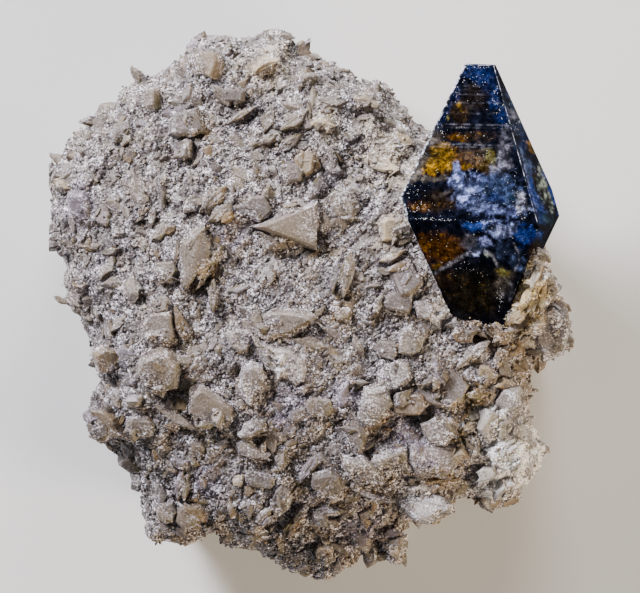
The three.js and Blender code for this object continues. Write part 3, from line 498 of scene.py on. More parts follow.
def neighbours_mean(values: np.ndarray, edges: np.ndarray, rounds: int) -> np.ndarray:
    """Averages a value over a mesh by passing it between neighbours.

    Args:
        values: One row a vertex.
        edges: Pairs of vertex numbers.
        rounds: How many times the average is taken.

    Returns:
        The averaged rows.
    """
    count = np.bincount(edges.ravel(), minlength=len(values)).astype(float)[:, None]
    smooth = values.copy()
    for _ in range(rounds):
        total = np.zeros_like(smooth)
        for column in range(smooth.shape[1]):
            total[:, column] = np.bincount(edges[:, 0], smooth[edges[:, 1], column], len(smooth))
            total[:, column] += np.bincount(edges[:, 1], smooth[edges[:, 0], column], len(smooth))
        smooth = 0.5 * smooth + 0.5 * total / np.maximum(count, 1)
    return smooth


def vertex_arrays(mesh: bpy.types.Mesh) -> tuple[np.ndarray, np.ndarray, np.ndarray]:
    """Reads a mesh's vertex places, normals and edges as arrays."""
    places = np.empty(len(mesh.vertices) * 3)
    mesh.vertices.foreach_get("co", places)
    normals = np.empty(len(mesh.vertices) * 3)
    mesh.vertices.foreach_get("normal", normals)
    edges = np.empty(len(mesh.edges) * 2, dtype=np.int64)
    mesh.edges.foreach_get("vertices", edges)
    return places.reshape(-1, 3), normals.reshape(-1, 3), edges.reshape(-1, 2)


def move_vertices(mesh: bpy.types.Mesh, places: np.ndarray) -> None:
    """Puts a mesh's vertices at new places."""
    mesh.vertices.foreach_set("co", places.ravel())
    mesh.update()


def mesh_from(shape: bmesh.types.BMesh, name: str) -> bpy.types.Mesh:
    """Writes an edit mesh to a new mesh and frees it."""
    mesh = bpy.data.meshes.new(name)
    shape.to_mesh(mesh)
    shape.free()
    return mesh


def surface_of(mesh: bpy.types.Mesh, places: np.ndarray) -> BVHTree:
    """Makes the search tree that finds places on a mesh."""
    return BVHTree.FromPolygons(places.tolist(), [tuple(face.vertices) for face in mesh.polygons])


def write_colours(mesh: bpy.types.Mesh, colours: np.ndarray, sugar: np.ndarray) -> None:
    """Stores a colour for each vertex, and how sugary it is, in the mesh's attribute named tint."""
    layer = mesh.color_attributes.new("tint", "FLOAT_COLOR", "POINT")
    rows = np.column_stack([np.clip(colours, 0, 1), sugar])
    layer.data.foreach_set("color", rows.ravel())


def node_copy(frame: dict, name: str) -> bmesh.types.BMesh:
    """Copies a CAD node's mesh, in mm, with its doubled corners merged."""
    shape = bmesh.new()
    shape.from_mesh(frame["nodes"][name].data)
    bmesh.ops.scale(shape, vec=(1 / MM,) * 3, verts=shape.verts)
    bmesh.ops.remove_doubles(shape, verts=shape.verts, dist=1e-4)
    return shape


def new_object(name: str, mesh: bpy.types.Mesh) -> bpy.types.Object:
    """Puts a mesh into the scene as an object at the origin."""
    piece = bpy.data.objects.new(name, mesh)
    bpy.context.scene.collection.objects.link(piece)
    return piece


def finish_piece(piece: bpy.types.Object, material: bpy.types.Material) -> None:
    """Brings a piece to metres, dresses it and lets it ride with the specimen."""
    piece.data.transform(Matrix.Scale(MM, 4))
    piece.data.materials.clear()
    piece.data.materials.append(material)
    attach(piece, "root")
    LOG.info("%s: %d faces", piece.name, len(piece.data.polygons))


class Nodes:
    """A short hand for building one node tree."""

    def __init__(self, tree: bpy.types.NodeTree) -> None:
        """Starts on an empty tree."""
        self.tree = tree
        tree.nodes.clear()

    def add(self, kind: str, **values: object) -> bpy.types.Node:
        """Adds a node.

        Args:
            kind: Blender's name of the node type.
            **values: Settings, or inputs by name with spaces as underscores.

        Returns:
            The node.
        """
        node = self.tree.nodes.new(kind)
        for key, value in values.items():
            if hasattr(node, key):
                setattr(node, key, value)
            else:
                self.feed(node, key.replace("_", " "), value)
        return node

    def feed(self, node: bpy.types.Node, name: str, value: object) -> None:
        """Sets an input to a value, or links it to an output."""
        self.fill(next(s for s in node.inputs if s.name == name and s.enabled), value)

    def fill(self, socket: bpy.types.NodeSocket, value: object) -> None:
        """Sets one socket to a value, or links it to an output."""
        if isinstance(value, bpy.types.NodeSocket):
            self.tree.links.new(value, socket)
        else:
            socket.default_value = value

    def mix(self, share: object, first: object, second: object) -> bpy.types.NodeSocket:
        """Blends two colours or outputs by a share and returns the result."""
        node = self.tree.nodes.new("ShaderNodeMix")
        node.data_type = "RGBA"
        for number, value in ((0, share), (6, first), (7, second)):
            self.fill(node.inputs[number], value)
        return node.outputs[2]

    def math(self, operation: str, first: object, second: object = 0.0) -> bpy.types.NodeSocket:
        """Adds a sum of two values or outputs and returns its result."""
        node = self.tree.nodes.new("ShaderNodeMath")
        node.operation = operation
        for socket, value in zip(node.inputs, (first, second)):
            self.fill(socket, value)
        return node.outputs[0]

    def scaled(self, colour: object, factor: object) -> bpy.types.NodeSocket:
        """Multiplies a colour by a factor and returns the result."""
        node = self.tree.nodes.new("ShaderNodeVectorMath")
        node.operation = "SCALE"
        self.fill(node.inputs[0], colour)
        self.fill(node.inputs["Scale"], factor)
        return node.outputs[0]

    def surface(self, **values: object) -> None:
        """Ends a material in one shader, with its inputs named as for add."""
        shader = self.add("ShaderNodeBsdfPrincipled", **values)
        self.add("ShaderNodeOutputMaterial", Surface=shader.outputs[0])

    def spread(
        self, value: object, low: float, high: float, to_low: float, to_high: float
    ) -> bpy.types.NodeSocket:
        """Maps a value from one range to another and returns the result."""
        node = self.add("ShaderNodeMapRange", Value=value)
        for name, number in zip(
            ("From Min", "From Max", "To Min", "To Max"), (low, high, to_low, to_high)
        ):
            node.inputs[name].default_value = number
        return node.outputs[0]


def new_material(name: str) -> tuple[bpy.types.Material, Nodes]:
    """Makes an empty material and the short hand for its nodes."""
    material = bpy.data.materials.new(name)
    material.use_nodes = True
    return material, Nodes(material.node_tree)


def sugar_group() -> bpy.types.NodeTree:
    """Makes the group that strews sugary specks, white grains with painted glints, and pits
    darkened as painted shade over a rock colour.
    """
    tree = bpy.data.node_groups.new("sugary grain", "ShaderNodeTree")
    for name, side, kind in (
        ("Rock Colour", "INPUT", "Color"), ("Sugar", "INPUT", "Float"),
        ("Grain per metre", "INPUT", "Float"), ("Colour", "OUTPUT", "Color"),
        ("Height", "OUTPUT", "Float"),
    ):
        tree.interface.new_socket(name, in_out=side, socket_type="NodeSocket" + kind)
    nodes = Nodes(tree)
    inside = nodes.add("NodeGroupInput").outputs
    place = nodes.add("ShaderNodeTexCoord").outputs["Object"]
    scale = inside["Grain per metre"]
    fine = nodes.add("ShaderNodeTexNoise", Vector=place, Scale=scale, Detail=2.5, Roughness=0.6)
    broad = nodes.add("ShaderNodeTexNoise", Vector=place, Scale=nodes.math("MULTIPLY", scale, 0.22))
    nodes.feed(broad, "Detail", 3.0)
    grain = nodes.math("ADD", fine.outputs[0], nodes.math("MULTIPLY", broad.outputs[0], 0.4))
    sugar = inside["Sugar"]
    # High points of the grain become white specks with painted glints, low points pits darkened as
    # painted shade.
    speck = nodes.math("MULTIPLY", nodes.spread(grain, 0.71, 0.85, 0.0, 1.0), sugar)
    pit = nodes.math("MULTIPLY", nodes.spread(grain, 0.68, 0.54, 0.0, 0.85), sugar)
    mottle = nodes.scaled(inside["Rock Colour"], nodes.spread(grain, 0.5, 0.9, 0.86, 1.14))
    pitted = nodes.mix(pit, mottle, PIT_SHADE)
    bright = nodes.mix(speck, pitted, SPECK_GLINT)
    height = nodes.math("MULTIPLY", grain, nodes.spread(sugar, 0.0, 1.0, 0.12, 1.0))
    nodes.add("NodeGroupOutput", Colour=bright, Height=height)
    return tree


@dataclass(frozen=True)
class RockFinish:
    """Sugary rock: colour and sugar come from the mesh, the grain from the group."""

    name: str
    grain_per_metre: float
    bump: float
    roughness: float = 0.55
    glow: float = 0.1

    def material(self, sugar: bpy.types.NodeTree) -> bpy.types.Material:
        """Builds the material.

        Args:
            sugar: The shared grain group.

        Returns:
            The material.
        """
        material, nodes = new_material(self.name)
        tint = nodes.add("ShaderNodeAttribute", attribute_name="tint").outputs
        grain = nodes.add(
            "ShaderNodeGroup", node_tree=sugar, Rock_Colour=tint["Color"], Sugar=tint["Alpha"],
            Grain_per_metre=self.grain_per_metre).outputs
        bump = nodes.add(
            "ShaderNodeBump", Strength=self.bump, Distance=0.0001, Height=grain["Height"])
        nodes.surface(
            Base_Color=grain["Colour"], Normal=bump.outputs[0], Roughness=self.roughness,
            Subsurface_Weight=self.glow, Subsurface_Radius=(1.0, 0.8, 0.6),
            Subsurface_Scale=0.0002, IOR=1.53)
        return material


@dataclass(frozen=True)
class CrystalFinish:
    """Adamantine crystal: zoned colour from the mesh under a bright, finely lined surface."""

    name: str = "anatase"
    ior: float = 2.49
    specular: float = 0.0
    roughness: float = 0.12
    clarity: float = 0.022

    def material(self) -> bpy.types.Material:
        """Builds the material."""
        material, nodes = new_material(self.name)
        place = nodes.add("ShaderNodeTexCoord").outputs["Object"]
        tint = nodes.add("ShaderNodeAttribute", attribute_name="tint")
        glitter = nodes.add("ShaderNodeTexNoise", Vector=place, Scale=11000.0, Detail=3.0)
        nodes.feed(glitter, "Roughness", 0.7)
        swing = nodes.spread(glitter.outputs[0], 0.36, 0.68, 0.3, 2.0)
        stretch = nodes.add(
            "ShaderNodeMapping", Vector=place, Rotation=(0.0, 0.0, math.radians(1.3)),
            Scale=(0.05, 1.0, 0.05))
        lines = nodes.add("ShaderNodeTexNoise", Vector=stretch.outputs[0], Scale=9000.0, Detail=2.0)
        bump = nodes.add(
            "ShaderNodeBump", Strength=0.2, Distance=0.00002, Height=lines.outputs[0])
        nodes.surface(
            Base_Color=nodes.scaled(tint.outputs["Color"], swing), Normal=bump.outputs[0],
            Roughness=self.roughness, IOR=self.ior, Specular_IOR_Level=self.specular,
            Transmission_Weight=self.clarity)
        return material


@dataclass(frozen=True)
class PlainFinish:
    """A plain surface with a slight mottle, for the dust and the floor."""

    name: str
    colour: Colour
    roughness: float
    mottle_per_metre: float

    def material(self) -> bpy.types.Material:
        """Builds the material."""
        material, nodes = new_material(self.name)
        place = nodes.add("ShaderNodeTexCoord").outputs["Object"]
        mottle = nodes.add("ShaderNodeTexNoise", Vector=place, Scale=self.mottle_per_metre)
        swing = nodes.spread(mottle.outputs[0], 0.3, 0.7, 0.96, 1.03)
        nodes.surface(Base_Color=nodes.scaled(self.colour, swing), Roughness=self.roughness)
        return material


@dataclass
class Plate:
    """The matrix: its rock, the blades of its druse and the sugary grains between them."""

    frame: dict
    voxel: float = 0.156
    contact_line: tuple[tuple[float, float], ...] = (
        (6.6, -0.5), (7.1, -0.9), (9.0, -0.98), (9.7, -0.5), (9.95, 0.2))
    waist_height: float = 4.7
    waist_keep: float = 1.1
    worn_rounds: int = 14
    hollow_rounds: int = 26
    # Depth of a hollow, in mm, at which its painted shade is full.
    hollow_shade_depth: float = 0.16
    lump: float = 0.16
    lumps_per_mm: float = 1.5
    fine_lumps_per_mm: float = 3.4
    swell: float = 0.14
    pocket_reach: float = 0.8
    pocket_gap: float = 0.02
    pocket_fade: float = 0.35
    pocket_corner: tuple[float, float, float] = (3.3, -3.2, 4.0)
    tuck: float = 0.05
    cover: float = 0.12
    cover_reach: float = 1.5
    seen_slope: float = 0.3
    blade_thickness: float = 0.35
    blade_rise: float = 0.1
    wedge_rise: float = 0.18
    blade_wear: float = 0.055
    half: float = 0.53
    top_share: float = 0.9
    foot_share: float = 1.05
    top_slope: float = 0.16
    broad: float = 1.6
    wobble: float = 0.12
    tumble: float = 0.3
    levelling: float = 0.45
    filler_rise: tuple[float, float] = (-0.04, 0.17)
    leaf_gable: tuple[float, float] = (0.02, 0.35)
    slab_gable: tuple[float, float] = (0.0, 0.1)
    slab_skew: float = 0.3
    rise_per_width: float = 0.04
    seat_height: float = 2.0
    seat_share: float = 60
    seat_limits: tuple[float, float] = (-0.1, 0.5)
    crystal_middle: tuple[float, float, float] = (8.0, 4.0, 0.0)
    away_step: float = 0.12
    away_tries: int = 6
    filler_width: tuple[float, float] = (0.3, 0.65)
    filler_low: float = 2.5
    filler_count: int = 1100
    filler_length: tuple[float, float] = (0.4, 1.5)
    grain_count: int = 23000
    grain_size: tuple[float, float] = (0.035, 0.1)
    grain_radius: float = 0.75
    grain_low: float = 1.5
    grain_sugar: float = 0.25
    grain_scatter: float = 0.045
    blade_shade: Colour = (1.3, 1.23, 1.12)
    seed: int = 7
    rock_mesh: bpy.types.Mesh = field(init=False)
    cad_surface: BVHTree = field(init=False)
    rock_surface: BVHTree = field(init=False)
    crystal_surface: BVHTree = field(init=False)
    low_corner: np.ndarray = field(init=False)
    high_corner: np.ndarray = field(init=False)

    def ground_colour(
        self, points: np.ndarray, normals: np.ndarray, hollow: np.ndarray
    ) -> np.ndarray:
        """Works out the rock's colour: its zones and patches, its flanks that face away from the
        key light tinted ochre as stain and painted shade, its hollows darkened as painted shade and
        its crests lightened as painted highlight.

        Args:
            points: Places in mm.
            normals: Directions square to the surface there.
            hollow: How deep each place lies between its neighbours, in mm.

        Returns:
            One linear colour a place.
        """
        drift = noise_at(points, 0.9, 3)
        detail = noise_at(points, 3.1, 2, 11.0)
        colours = np.tile(np.array(Tint.GREY.value), (len(points), 1))
        colours = blend(colours, np.clip(0.5 + 0.9 * drift, 0, 1), Tint.BEIGE.value)
        painted_light_patch = np.zeros(len(points))
        high = np.clip((points[:, 2] - 1.5) / 2.0, 0, 1)
        for tint_patch in TINT_PATCHES:
            away = np.hypot(points[:, 0] - tint_patch.x, points[:, 1] - tint_patch.y) / tint_patch.radius
            reach = np.clip(1.5 * (1 - away) + 0.6 * drift + 0.5 * detail, 0, 1)
            weight = reach * high * tint_patch.strength
            # Marks the painted highlight and the lightened straw patches; there the ochre flank
            # tint and the painted shade in hollows are held back.
            painted_light_patch = np.maximum(painted_light_patch, weight * (tint_patch.tint in (Tint.SNOW_HIGHLIGHT, Tint.STRAW_LIT)))
            colours = blend(colours, weight, tint_patch.tint.value)
        # Flanks facing right and down, away from the key light, are tinted ochre: partly stain,
        # partly painted shade.
        ochre_stain_and_shade = np.clip(0.6 * normals[:, 0] - 0.7 * normals[:, 1] - 0.2 + 0.5 * drift, 0, 0.8)
        colours = blend(colours, ochre_stain_and_shade * (1 - 0.75 * painted_light_patch), Tint.OCHRE.value)
        # Painted shade: hollows are darkened brown.
        depth = np.clip(hollow / self.hollow_shade_depth + 0.4 * detail, 0, 1) * (1 - 0.5 * painted_light_patch)
        colours = blend(colours, 0.7 * depth, Tint.BROWN.value)
        # Painted highlight: crests are made lighter.
        crest = np.clip(-hollow / 0.1 - 0.2, 0, 1)[:, None]
        return colours * (1 + 0.5 * crest) * (1 + 0.25 * detail[:, None])

    def even_mesh(self, shape: bmesh.types.BMesh) -> bpy.types.Mesh:
        """Turns the matrix solid into an even mesh of small faces."""
        carrier = new_object("coarse rock", mesh_from(shape, "coarse rock"))
        even = carrier.modifiers.new("even", "REMESH")
        even.mode = "VOXEL"
        even.voxel_size = self.voxel
        depsgraph = bpy.context.evaluated_depsgraph_get()
        mesh = bpy.data.meshes.new_from_object(carrier.evaluated_get(depsgraph))
        bpy.data.objects.remove(carrier)
        return mesh

    def wear_flanks(self, mesh: bpy.types.Mesh) -> None:
        """Rounds off the steep sides over and under the plate's waist."""
        places, normals, edges = vertex_arrays(mesh)
        flank = np.clip(np.abs(places[:, 2] - self.waist_height) / self.waist_keep - 0.4, 0, 1)
        flank *= np.clip(1.2 - 1.6 * np.abs(normals[:, 2]), 0, 1)
        worn = neighbours_mean(places, edges, self.worn_rounds)
        move_vertices(mesh, places + flank[:, None] * (worn - places))

    def grow_lumps(self, mesh: bpy.types.Mesh) -> None:
        """Covers the rock with packed lumps and closes its pocket on the crystal."""
        places, normals, _ = vertex_arrays(mesh)
        above = np.clip(places[:, 2] / 0.6, 0, 1)
        tilt, border = facets_at(places, self.lumps_per_mm)
        tilt_fine, border_fine = facets_at(places, self.fine_lumps_per_mm, 5.0)
        lift = self.lump * (1.6 * tilt + 1.4 * np.minimum(border, 0.3) - 0.25)
        lift += 0.6 * self.lump * (1.5 * tilt_fine + 1.2 * np.minimum(border_fine, 0.3) - 0.2)
        lift += self.swell * noise_at(places, 0.8, 3, 3.0)
        places += (lift * above)[:, None] * normals
        places = np.clip(places, self.low_corner, self.high_corner)
        move_vertices(mesh, self.against_crystal(places))

    def rock(self) -> bpy.types.Object:
        """Builds the rock from the matrix solid: an even mesh, worn and grown over with lumps."""
        shape = node_copy(self.frame, "matrix")
        self.cad_surface = BVHTree.FromBMesh(shape)
        corners = np.array([vert.co[:] for vert in shape.verts])
        self.low_corner, self.high_corner = corners.min(axis=0), corners.max(axis=0)
        crystal = node_copy(self.frame, "anatase")
        self.crystal_surface = BVHTree.FromBMesh(crystal)
        crystal.free()
        mesh = self.even_mesh(shape)
        self.wear_flanks(mesh)
        self.grow_lumps(mesh)
        places, normals, edges = vertex_arrays(mesh)
        # How deep each place lies between its neighbours, which sets the painted shade in the
        # hollows and the lighter crests.
        around = neighbours_mean(places, edges, self.hollow_rounds)
        hollow = ((around - places) * normals).sum(axis=1)
        sugar = np.clip(0.8 + 1.3 * noise_at(places, 1.1, 2, 31.0), 0.15, 1)
        sugar *= 1 - 0.5 * np.clip(1 - 2.5 * normals[:, 2], 0, 1) * np.clip(6 - places[:, 2], 0, 1)
        write_colours(mesh, self.ground_colour(places, normals, hollow), sugar)
        self.rock_mesh = mesh
        self.rock_surface = surface_of(mesh, places)
        return new_object("matrix_rock", mesh)

    def against_crystal(self, places: np.ndarray) -> np.ndarray:
        """Moves the pocket's walls up to the crystal, which the rock has grown against.

        North of the contact line the rock stays under the crystal's front face, and south of it
        the rock covers the crystal's foot.

        Args:
            places: The rock's vertices in mm.

        Returns:
            The moved vertices.
        """
        moved = places.copy()
        for index in np.flatnonzero((places > self.pocket_corner).all(axis=1)):
            nearest, _, _, distance = self.crystal_surface.find_nearest(
                Vector(places[index]), self.pocket_reach)
            if nearest is not None and distance > 1.5 * self.pocket_gap:
                share = (distance - self.pocket_gap) / distance
                fade = (self.pocket_reach - distance) / self.pocket_fade
                share *= min(1.0, max(0.0, fade))
                moved[index] += share * (np.array(nearest) - places[index])
            x, y, z = moved[index]
            hit, normal = look_down(self.crystal_surface, x, y)
            if hit is None or normal.z < self.seen_slope:
                continue
            if y > self.contact_height(x):
                moved[index, 2] = min(z, hit.z - self.tuck)
            elif z > hit.z - self.cover_reach:
                moved[index, 2] = max(z, hit.z + self.cover)
        return moved

    def contact_height(self, x: float) -> float:
        """Gives the Y where the rock covers the crystal's foot, at an X in mm."""
        along, up = zip(*self.contact_line)
        ragged = 0.06 * noise.noise(Vector((3 * x, 0, 0)))
        return float(np.interp(x, along, up)) + ragged

    def hides_crystal(self, x: float, y: float, z: float) -> bool:
        """Tells whether a place lies over a part of the crystal that is seen from above."""
        hit, normal = look_down(self.crystal_surface, x, y)
        if hit is None or normal.z <= self.seen_slope:
            return False
        return y > self.contact_height(x) and hit.z < z

    def surface_at(self, x: float, y: float) -> tuple[Vector, Vector]:
        """Finds the matrix solid's top, and the direction square to it, at a place."""
        hit, normal = look_down(self.cad_surface, x, y)
        if hit is None:
            return Vector((x, y, 5)), Vector((0, 0, 1))
        return hit, normal

    def blade_form(
        self, blade: Blade, rng: np.random.Generator, fine: bool
    ) -> bmesh.types.BMesh:
        """Models one blade flat: a low prism with an angular outline, a low gable and worn rims.

        Args:
            blade: What the blade is like.
            rng: Draws its irregularities.
            fine: Whether its faces are split once more and made uneven.

        Returns:
            The blade's mesh, its length along X and its top at the origin's height.
        """
        corners = blade.shape.value
        thick = self.blade_thickness + self.blade_thickness * blade.width
        form = bmesh.new()
        bmesh.ops.create_cone(
            form, cap_ends=True, segments=corners, radius1=1.0, radius2=1.0, depth=2.0)
        long_form = blade.shape in (Shape.LEAF, Shape.DROP)
        loose = 0.07 if long_form else 0.03 if blade.shape is Shape.WEDGE else 0.16
        jitter = rng.uniform(-loose, loose, (corners, 2)) * blade.width
        slope_x, slope_y = rng.uniform(-self.top_slope, self.top_slope, 2)
        gable = rng.uniform(*(self.leaf_gable if long_form else self.slab_gable))
        skew = rng.uniform(-self.slab_skew, self.slab_skew)
        first = min(form.verts, key=lambda vert: (-vert.co.x, abs(vert.co.y)))
        start = math.atan2(first.co.y, first.co.x)
        for vert in form.verts:
            angle = math.atan2(vert.co.y, vert.co.x) - start
            number = round(angle / math.tau * corners) % corners
            x, y = blade.shape.point(angle, skew)
            top = vert.co.z > 0
            spread = self.top_share if top else self.foot_share
            vert.co.x = self.half * blade.length * x * spread + jitter[number, 0]
            vert.co.y = self.half * blade.width * y * spread + jitter[number, 1]
            vert.co.z = slope_x * vert.co.x + slope_y * vert.co.y - gable * abs(vert.co.y) * top
            vert.co.z -= 0.0 if top else thick
        if long_form:
            tops = [vert for vert in form.verts if vert.co.z > -0.5 * thick]
            ends = [max(tops, key=lambda vert: vert.co.x), min(tops, key=lambda vert: vert.co.x)]
            bmesh.ops.connect_vert_pair(form, verts=ends)
        form.normal_update()
        rims = [
            edge for edge in form.edges
            if sum(face.normal.z > 0.4 for face in edge.link_faces) == 1
        ]
        bmesh.ops.bevel(
            form, geom=rims, offset=0.02 + 0.06 * min(blade.width, self.broad), segments=1,
            profile=0.5, affect="EDGES", material=-1)
        bmesh.ops.triangulate(form, faces=form.faces)
        if fine:
            bmesh.ops.subdivide_edges(form, edges=form.edges, cuts=1, use_grid_fill=True)
            form.normal_update()
            offset = Vector(rng.uniform(0, 50, 3))
            for vert in form.verts:
                uneven = noise.fractal(vert.co * 2.4 + offset, 0.6, 2.2, 4)
                vert.co += vert.normal * self.blade_wear * uneven
        return form

    def seat(self, blade: Blade, placed: Matrix) -> float:
        """Finds how far a blade must rise to lie flush in the rock's lumps.

        Args:
            blade: What the blade is like.
            placed: Its turn, lean and middle on the solid.

        Returns:
            The rise in mm along its own upright.
        """
        upright = placed.to_3x3() @ Vector((0, 0, 1))
        rises = []
        for angle in range(0, 360, 45):
            spot = Vector((math.cos(math.radians(angle)) * blade.length, 0, 0)) * 0.35
            spot.y = math.sin(math.radians(angle)) * blade.width * 0.3
            start = placed @ spot + self.seat_height * upright
            _, _, _, distance = self.rock_surface.ray_cast(
                start, -upright, 2 * self.seat_height)
            rises.append(-0.2 if distance is None else self.seat_height - distance)
        return float(np.clip(np.percentile(rises, self.seat_share), *self.seat_limits))

    def fillers(self, rng: np.random.Generator) -> list[Blade]:
        """Chooses places and sizes for the many smaller blades between the larger ones.

        Args:
            rng: Draws them.

        Returns:
            The smaller blades.
        """
        places, normals, _ = vertex_arrays(self.rock_mesh)
        weight = (normals[:, 2] > 0.1) * (places[:, 2] > self.filler_low)
        spots = places[rng.choice(len(places), self.filler_count, p=weight / weight.sum())]
        low, high = self.filler_length
        tints = [Tint.GREY, Tint.GREY, Tint.BEIGE, Tint.BEIGE, Tint.BEIGE, Tint.LAVENDER, Tint.TAN]
        shapes = [Shape.LEAF, Shape.LEAF, Shape.LEAF, Shape.LEAF, Shape.SLAB]
        fillers = []
        for x, y, _ in spots:
            length = low + (high - low) * rng.random() ** 1.8
            width = length * rng.uniform(*self.filler_width)
            tint, shape = tints[rng.integers(len(tints))], shapes[rng.integers(len(shapes))]
            fillers.append(Blade(x, y, length, width, rng.uniform(0, 360), tint, shape))
        return fillers

    def place(
        self, blade: Blade, form: bmesh.types.BMesh, rng: np.random.Generator, named: bool
    ) -> float | None:
        """Sets a blade on the rock, clear of the part of the crystal that is seen.

        Args:
            blade: What the blade is like.
            form: Its mesh, which is moved.
            rng: Draws its lean and its rise.
            named: Whether it is one of the larger blades, which are moved clear of the crystal.

        Returns:
            The height of the solid under it, or None where a smaller blade hides the crystal.
        """
        hit, normal = self.surface_at(blade.x, blade.y)
        wobble = Vector(rng.normal(size=3)) * (self.wobble if named else self.tumble)
        facing = (normal + Vector((0, 0, self.levelling)) + wobble).normalized()
        rise = rng.uniform(*self.filler_rise)
        turned = Matrix.Rotation(math.radians(blade.turn), 4, "Z")
        leaned = Vector((0, 0, 1)).rotation_difference(facing).to_matrix().to_4x4()
        if named:
            level = Matrix.Translation(hit) @ leaned @ turned
            proud = self.wedge_rise if blade.shape is Shape.WEDGE else self.blade_rise
            rise = proud + self.rise_per_width * blade.width + self.seat(blade, level)
        placed = Matrix.Translation(hit + facing * rise) @ leaned @ turned
        bmesh.ops.transform(form, matrix=placed, verts=form.verts)
        away = Vector((blade.x, blade.y, 0)) - Vector(self.crystal_middle)
        away = away.normalized() * self.away_step
        tries = self.away_tries if named else 0
        while tries and any(self.hides_crystal(*vert.co) for vert in form.verts):
            bmesh.ops.translate(form, vec=away, verts=form.verts)
            tries -= 1
        if not named and any(self.hides_crystal(*vert.co) for vert in form.verts):
            return None
        bmesh.ops.recalc_face_normals(form, faces=form.faces)
        return hit.z

    def blades(self) -> bpy.types.Object:
        """Builds all the blades as one mesh, each with its own colour."""
        rng = np.random.default_rng(self.seed)
        joined = bmesh.new()
        tints: list[np.ndarray] = []
        sugars: list[np.ndarray] = []
        for index, blade in enumerate(BLADES + self.fillers(rng)):
            named = index < len(BLADES)
            form = self.blade_form(blade, rng, named)
            ground = self.place(blade, form, rng, named)
            if ground is None:
                form.free()
                continue
            one = mesh_from(form, "blade")
            joined.from_mesh(one)
            places, normals, _ = vertex_arrays(one)
            depth = np.clip((ground + 0.05 - places[:, 2]) / 0.3, 0, 1)
            tints.append(self.blade_colour(blade, places, normals, depth))
            sugar = 0.05 + 1.3 * noise_at(places, 1.5, 2, 41.0 + index) + 0.8 * depth
            sugar += 0.5 if blade.tint is Tint.PALE else 0.0
            sugars.append(np.clip(sugar, 0.1, 1))
            bpy.data.meshes.remove(one)
        mesh = mesh_from(joined, "matrix_blades")
        places, _, _ = vertex_arrays(mesh)
        move_vertices(mesh, np.clip(places, self.low_corner, self.high_corner))
        write_colours(mesh, np.concatenate(tints), np.concatenate(sugars))
        return new_object("matrix_blades", mesh)

    def blade_colour(
        self, blade: Blade, places: np.ndarray, normals: np.ndarray, depth: np.ndarray
    ) -> np.ndarray:
        """Works out a blade's colour: its own tint, tinted ochre or olive on the flanks that face
        right and down, away from the key light, as stain and painted shade, and darkened at its
        sunk foot as painted shade.

        Args:
            blade: What the blade is like.
            places: Its vertices in mm.
            normals: Their directions.
            depth: 1 where a vertex is sunk in the rock, 0 where it is clear of it.

        Returns:
            One linear colour a vertex.
        """
        drift = noise_at(places, 1.6, 3, 21.0)
        ground = self.ground_colour(places.mean(axis=0)[None], np.array([[0, 0, 1.0]]), np.zeros(1))
        own = np.array(self.blade_shade) * np.array(blade.tint.value)
        colours = np.tile(0.5 * own + 0.5 * ground[0], (len(places), 1))
        # Flanks facing right and down, away from the key light, take ochre on ochre, tan and cream
        # blades and olive on the rest: partly stain, partly painted shade.
        flank = np.clip(1.5 * normals[:, 0] - 1.3 * normals[:, 1] - 0.4 + 0.9 * drift, 0, 0.9)
        flank_stain_and_shade = Tint.OCHRE if blade.tint in (Tint.OCHRE, Tint.TAN, Tint.CREAM) else Tint.OLIVE
        colours = blend(colours, flank, flank_stain_and_shade.value)
        # Painted shade: where the blade is sunk in the rock its foot is darkened brown.
        colours = blend(colours, 0.6 * depth, Tint.BROWN.value)
        return colours * (1 + 0.3 * drift[:, None])

    def grains(self) -> bpy.types.Object:
        """Strews small crystals over the rock as one mesh made from arrays."""
        rng = np.random.default_rng(self.seed)
        places, normals, _ = vertex_arrays(self.rock_mesh)
        upward = np.clip(normals[:, 2] + 0.1, 0, 1) * (places[:, 2] > self.grain_low)
        chosen = rng.choice(len(places), self.grain_count, p=upward / upward.sum())
        seed_shape = bmesh.new()
        bmesh.ops.create_uvsphere(
            seed_shape, u_segments=4, v_segments=2, radius=self.grain_radius)
        corners = np.array([vert.co[:] for vert in seed_shape.verts])
        faces = np.array([[vert.index for vert in face.verts] for face in seed_shape.faces])
        seed_shape.free()
        count, per_grain = self.grain_count, len(corners)
        low, high = self.grain_size
        sizes = low + (high - low) * rng.random((count, 1, 1)) ** 2.2
        stretch = 1 + 0.8 * rng.random((count, 1, 3))
        shapes = corners[None] * sizes * stretch * (1 + 0.25 * rng.random((count, per_grain, 1)))
        quats = rng.normal(size=(count, 4))
        quats /= np.linalg.norm(quats, axis=1, keepdims=True)
        w, x, y, z = quats.T
        turns = np.stack([
            1 - 2 * (y * y + z * z), 2 * (x * y - w * z), 2 * (x * z + w * y),
            2 * (x * y + w * z), 1 - 2 * (x * x + z * z), 2 * (y * z - w * x),
            2 * (x * z - w * y), 2 * (y * z + w * x), 1 - 2 * (x * x + y * y),
        ], axis=1).reshape(-1, 3, 3)
        middles = places[chosen]
        middles += rng.normal(scale=self.grain_scatter, size=(count, 3))
        near = np.flatnonzero((middles[:, 0] > 4) & (middles[:, 1] > -2))
        hidden = [index for index in near if self.hides_crystal(*(middles[index] + [0, 0, 0.05]))]
        middles[hidden, 2] -= 1.0
        verts = np.einsum("nij,nkj->nki", turns, shapes) + middles[:, None]
        verts = np.clip(verts, self.low_corner, self.high_corner)
        sides = faces[None] + per_grain * np.arange(count)[:, None, None]
        mesh = bpy.data.meshes.new("matrix_grains")
        mesh.from_pydata(verts.reshape(-1, 3), [], sides.reshape(-1, 3))
        colours = self.ground_colour(middles, normals[chosen], np.zeros(count))
        bright = 0.5 + 2.6 * rng.random((count, 1)) ** 2
        sugar = np.full(per_grain * count, self.grain_sugar)
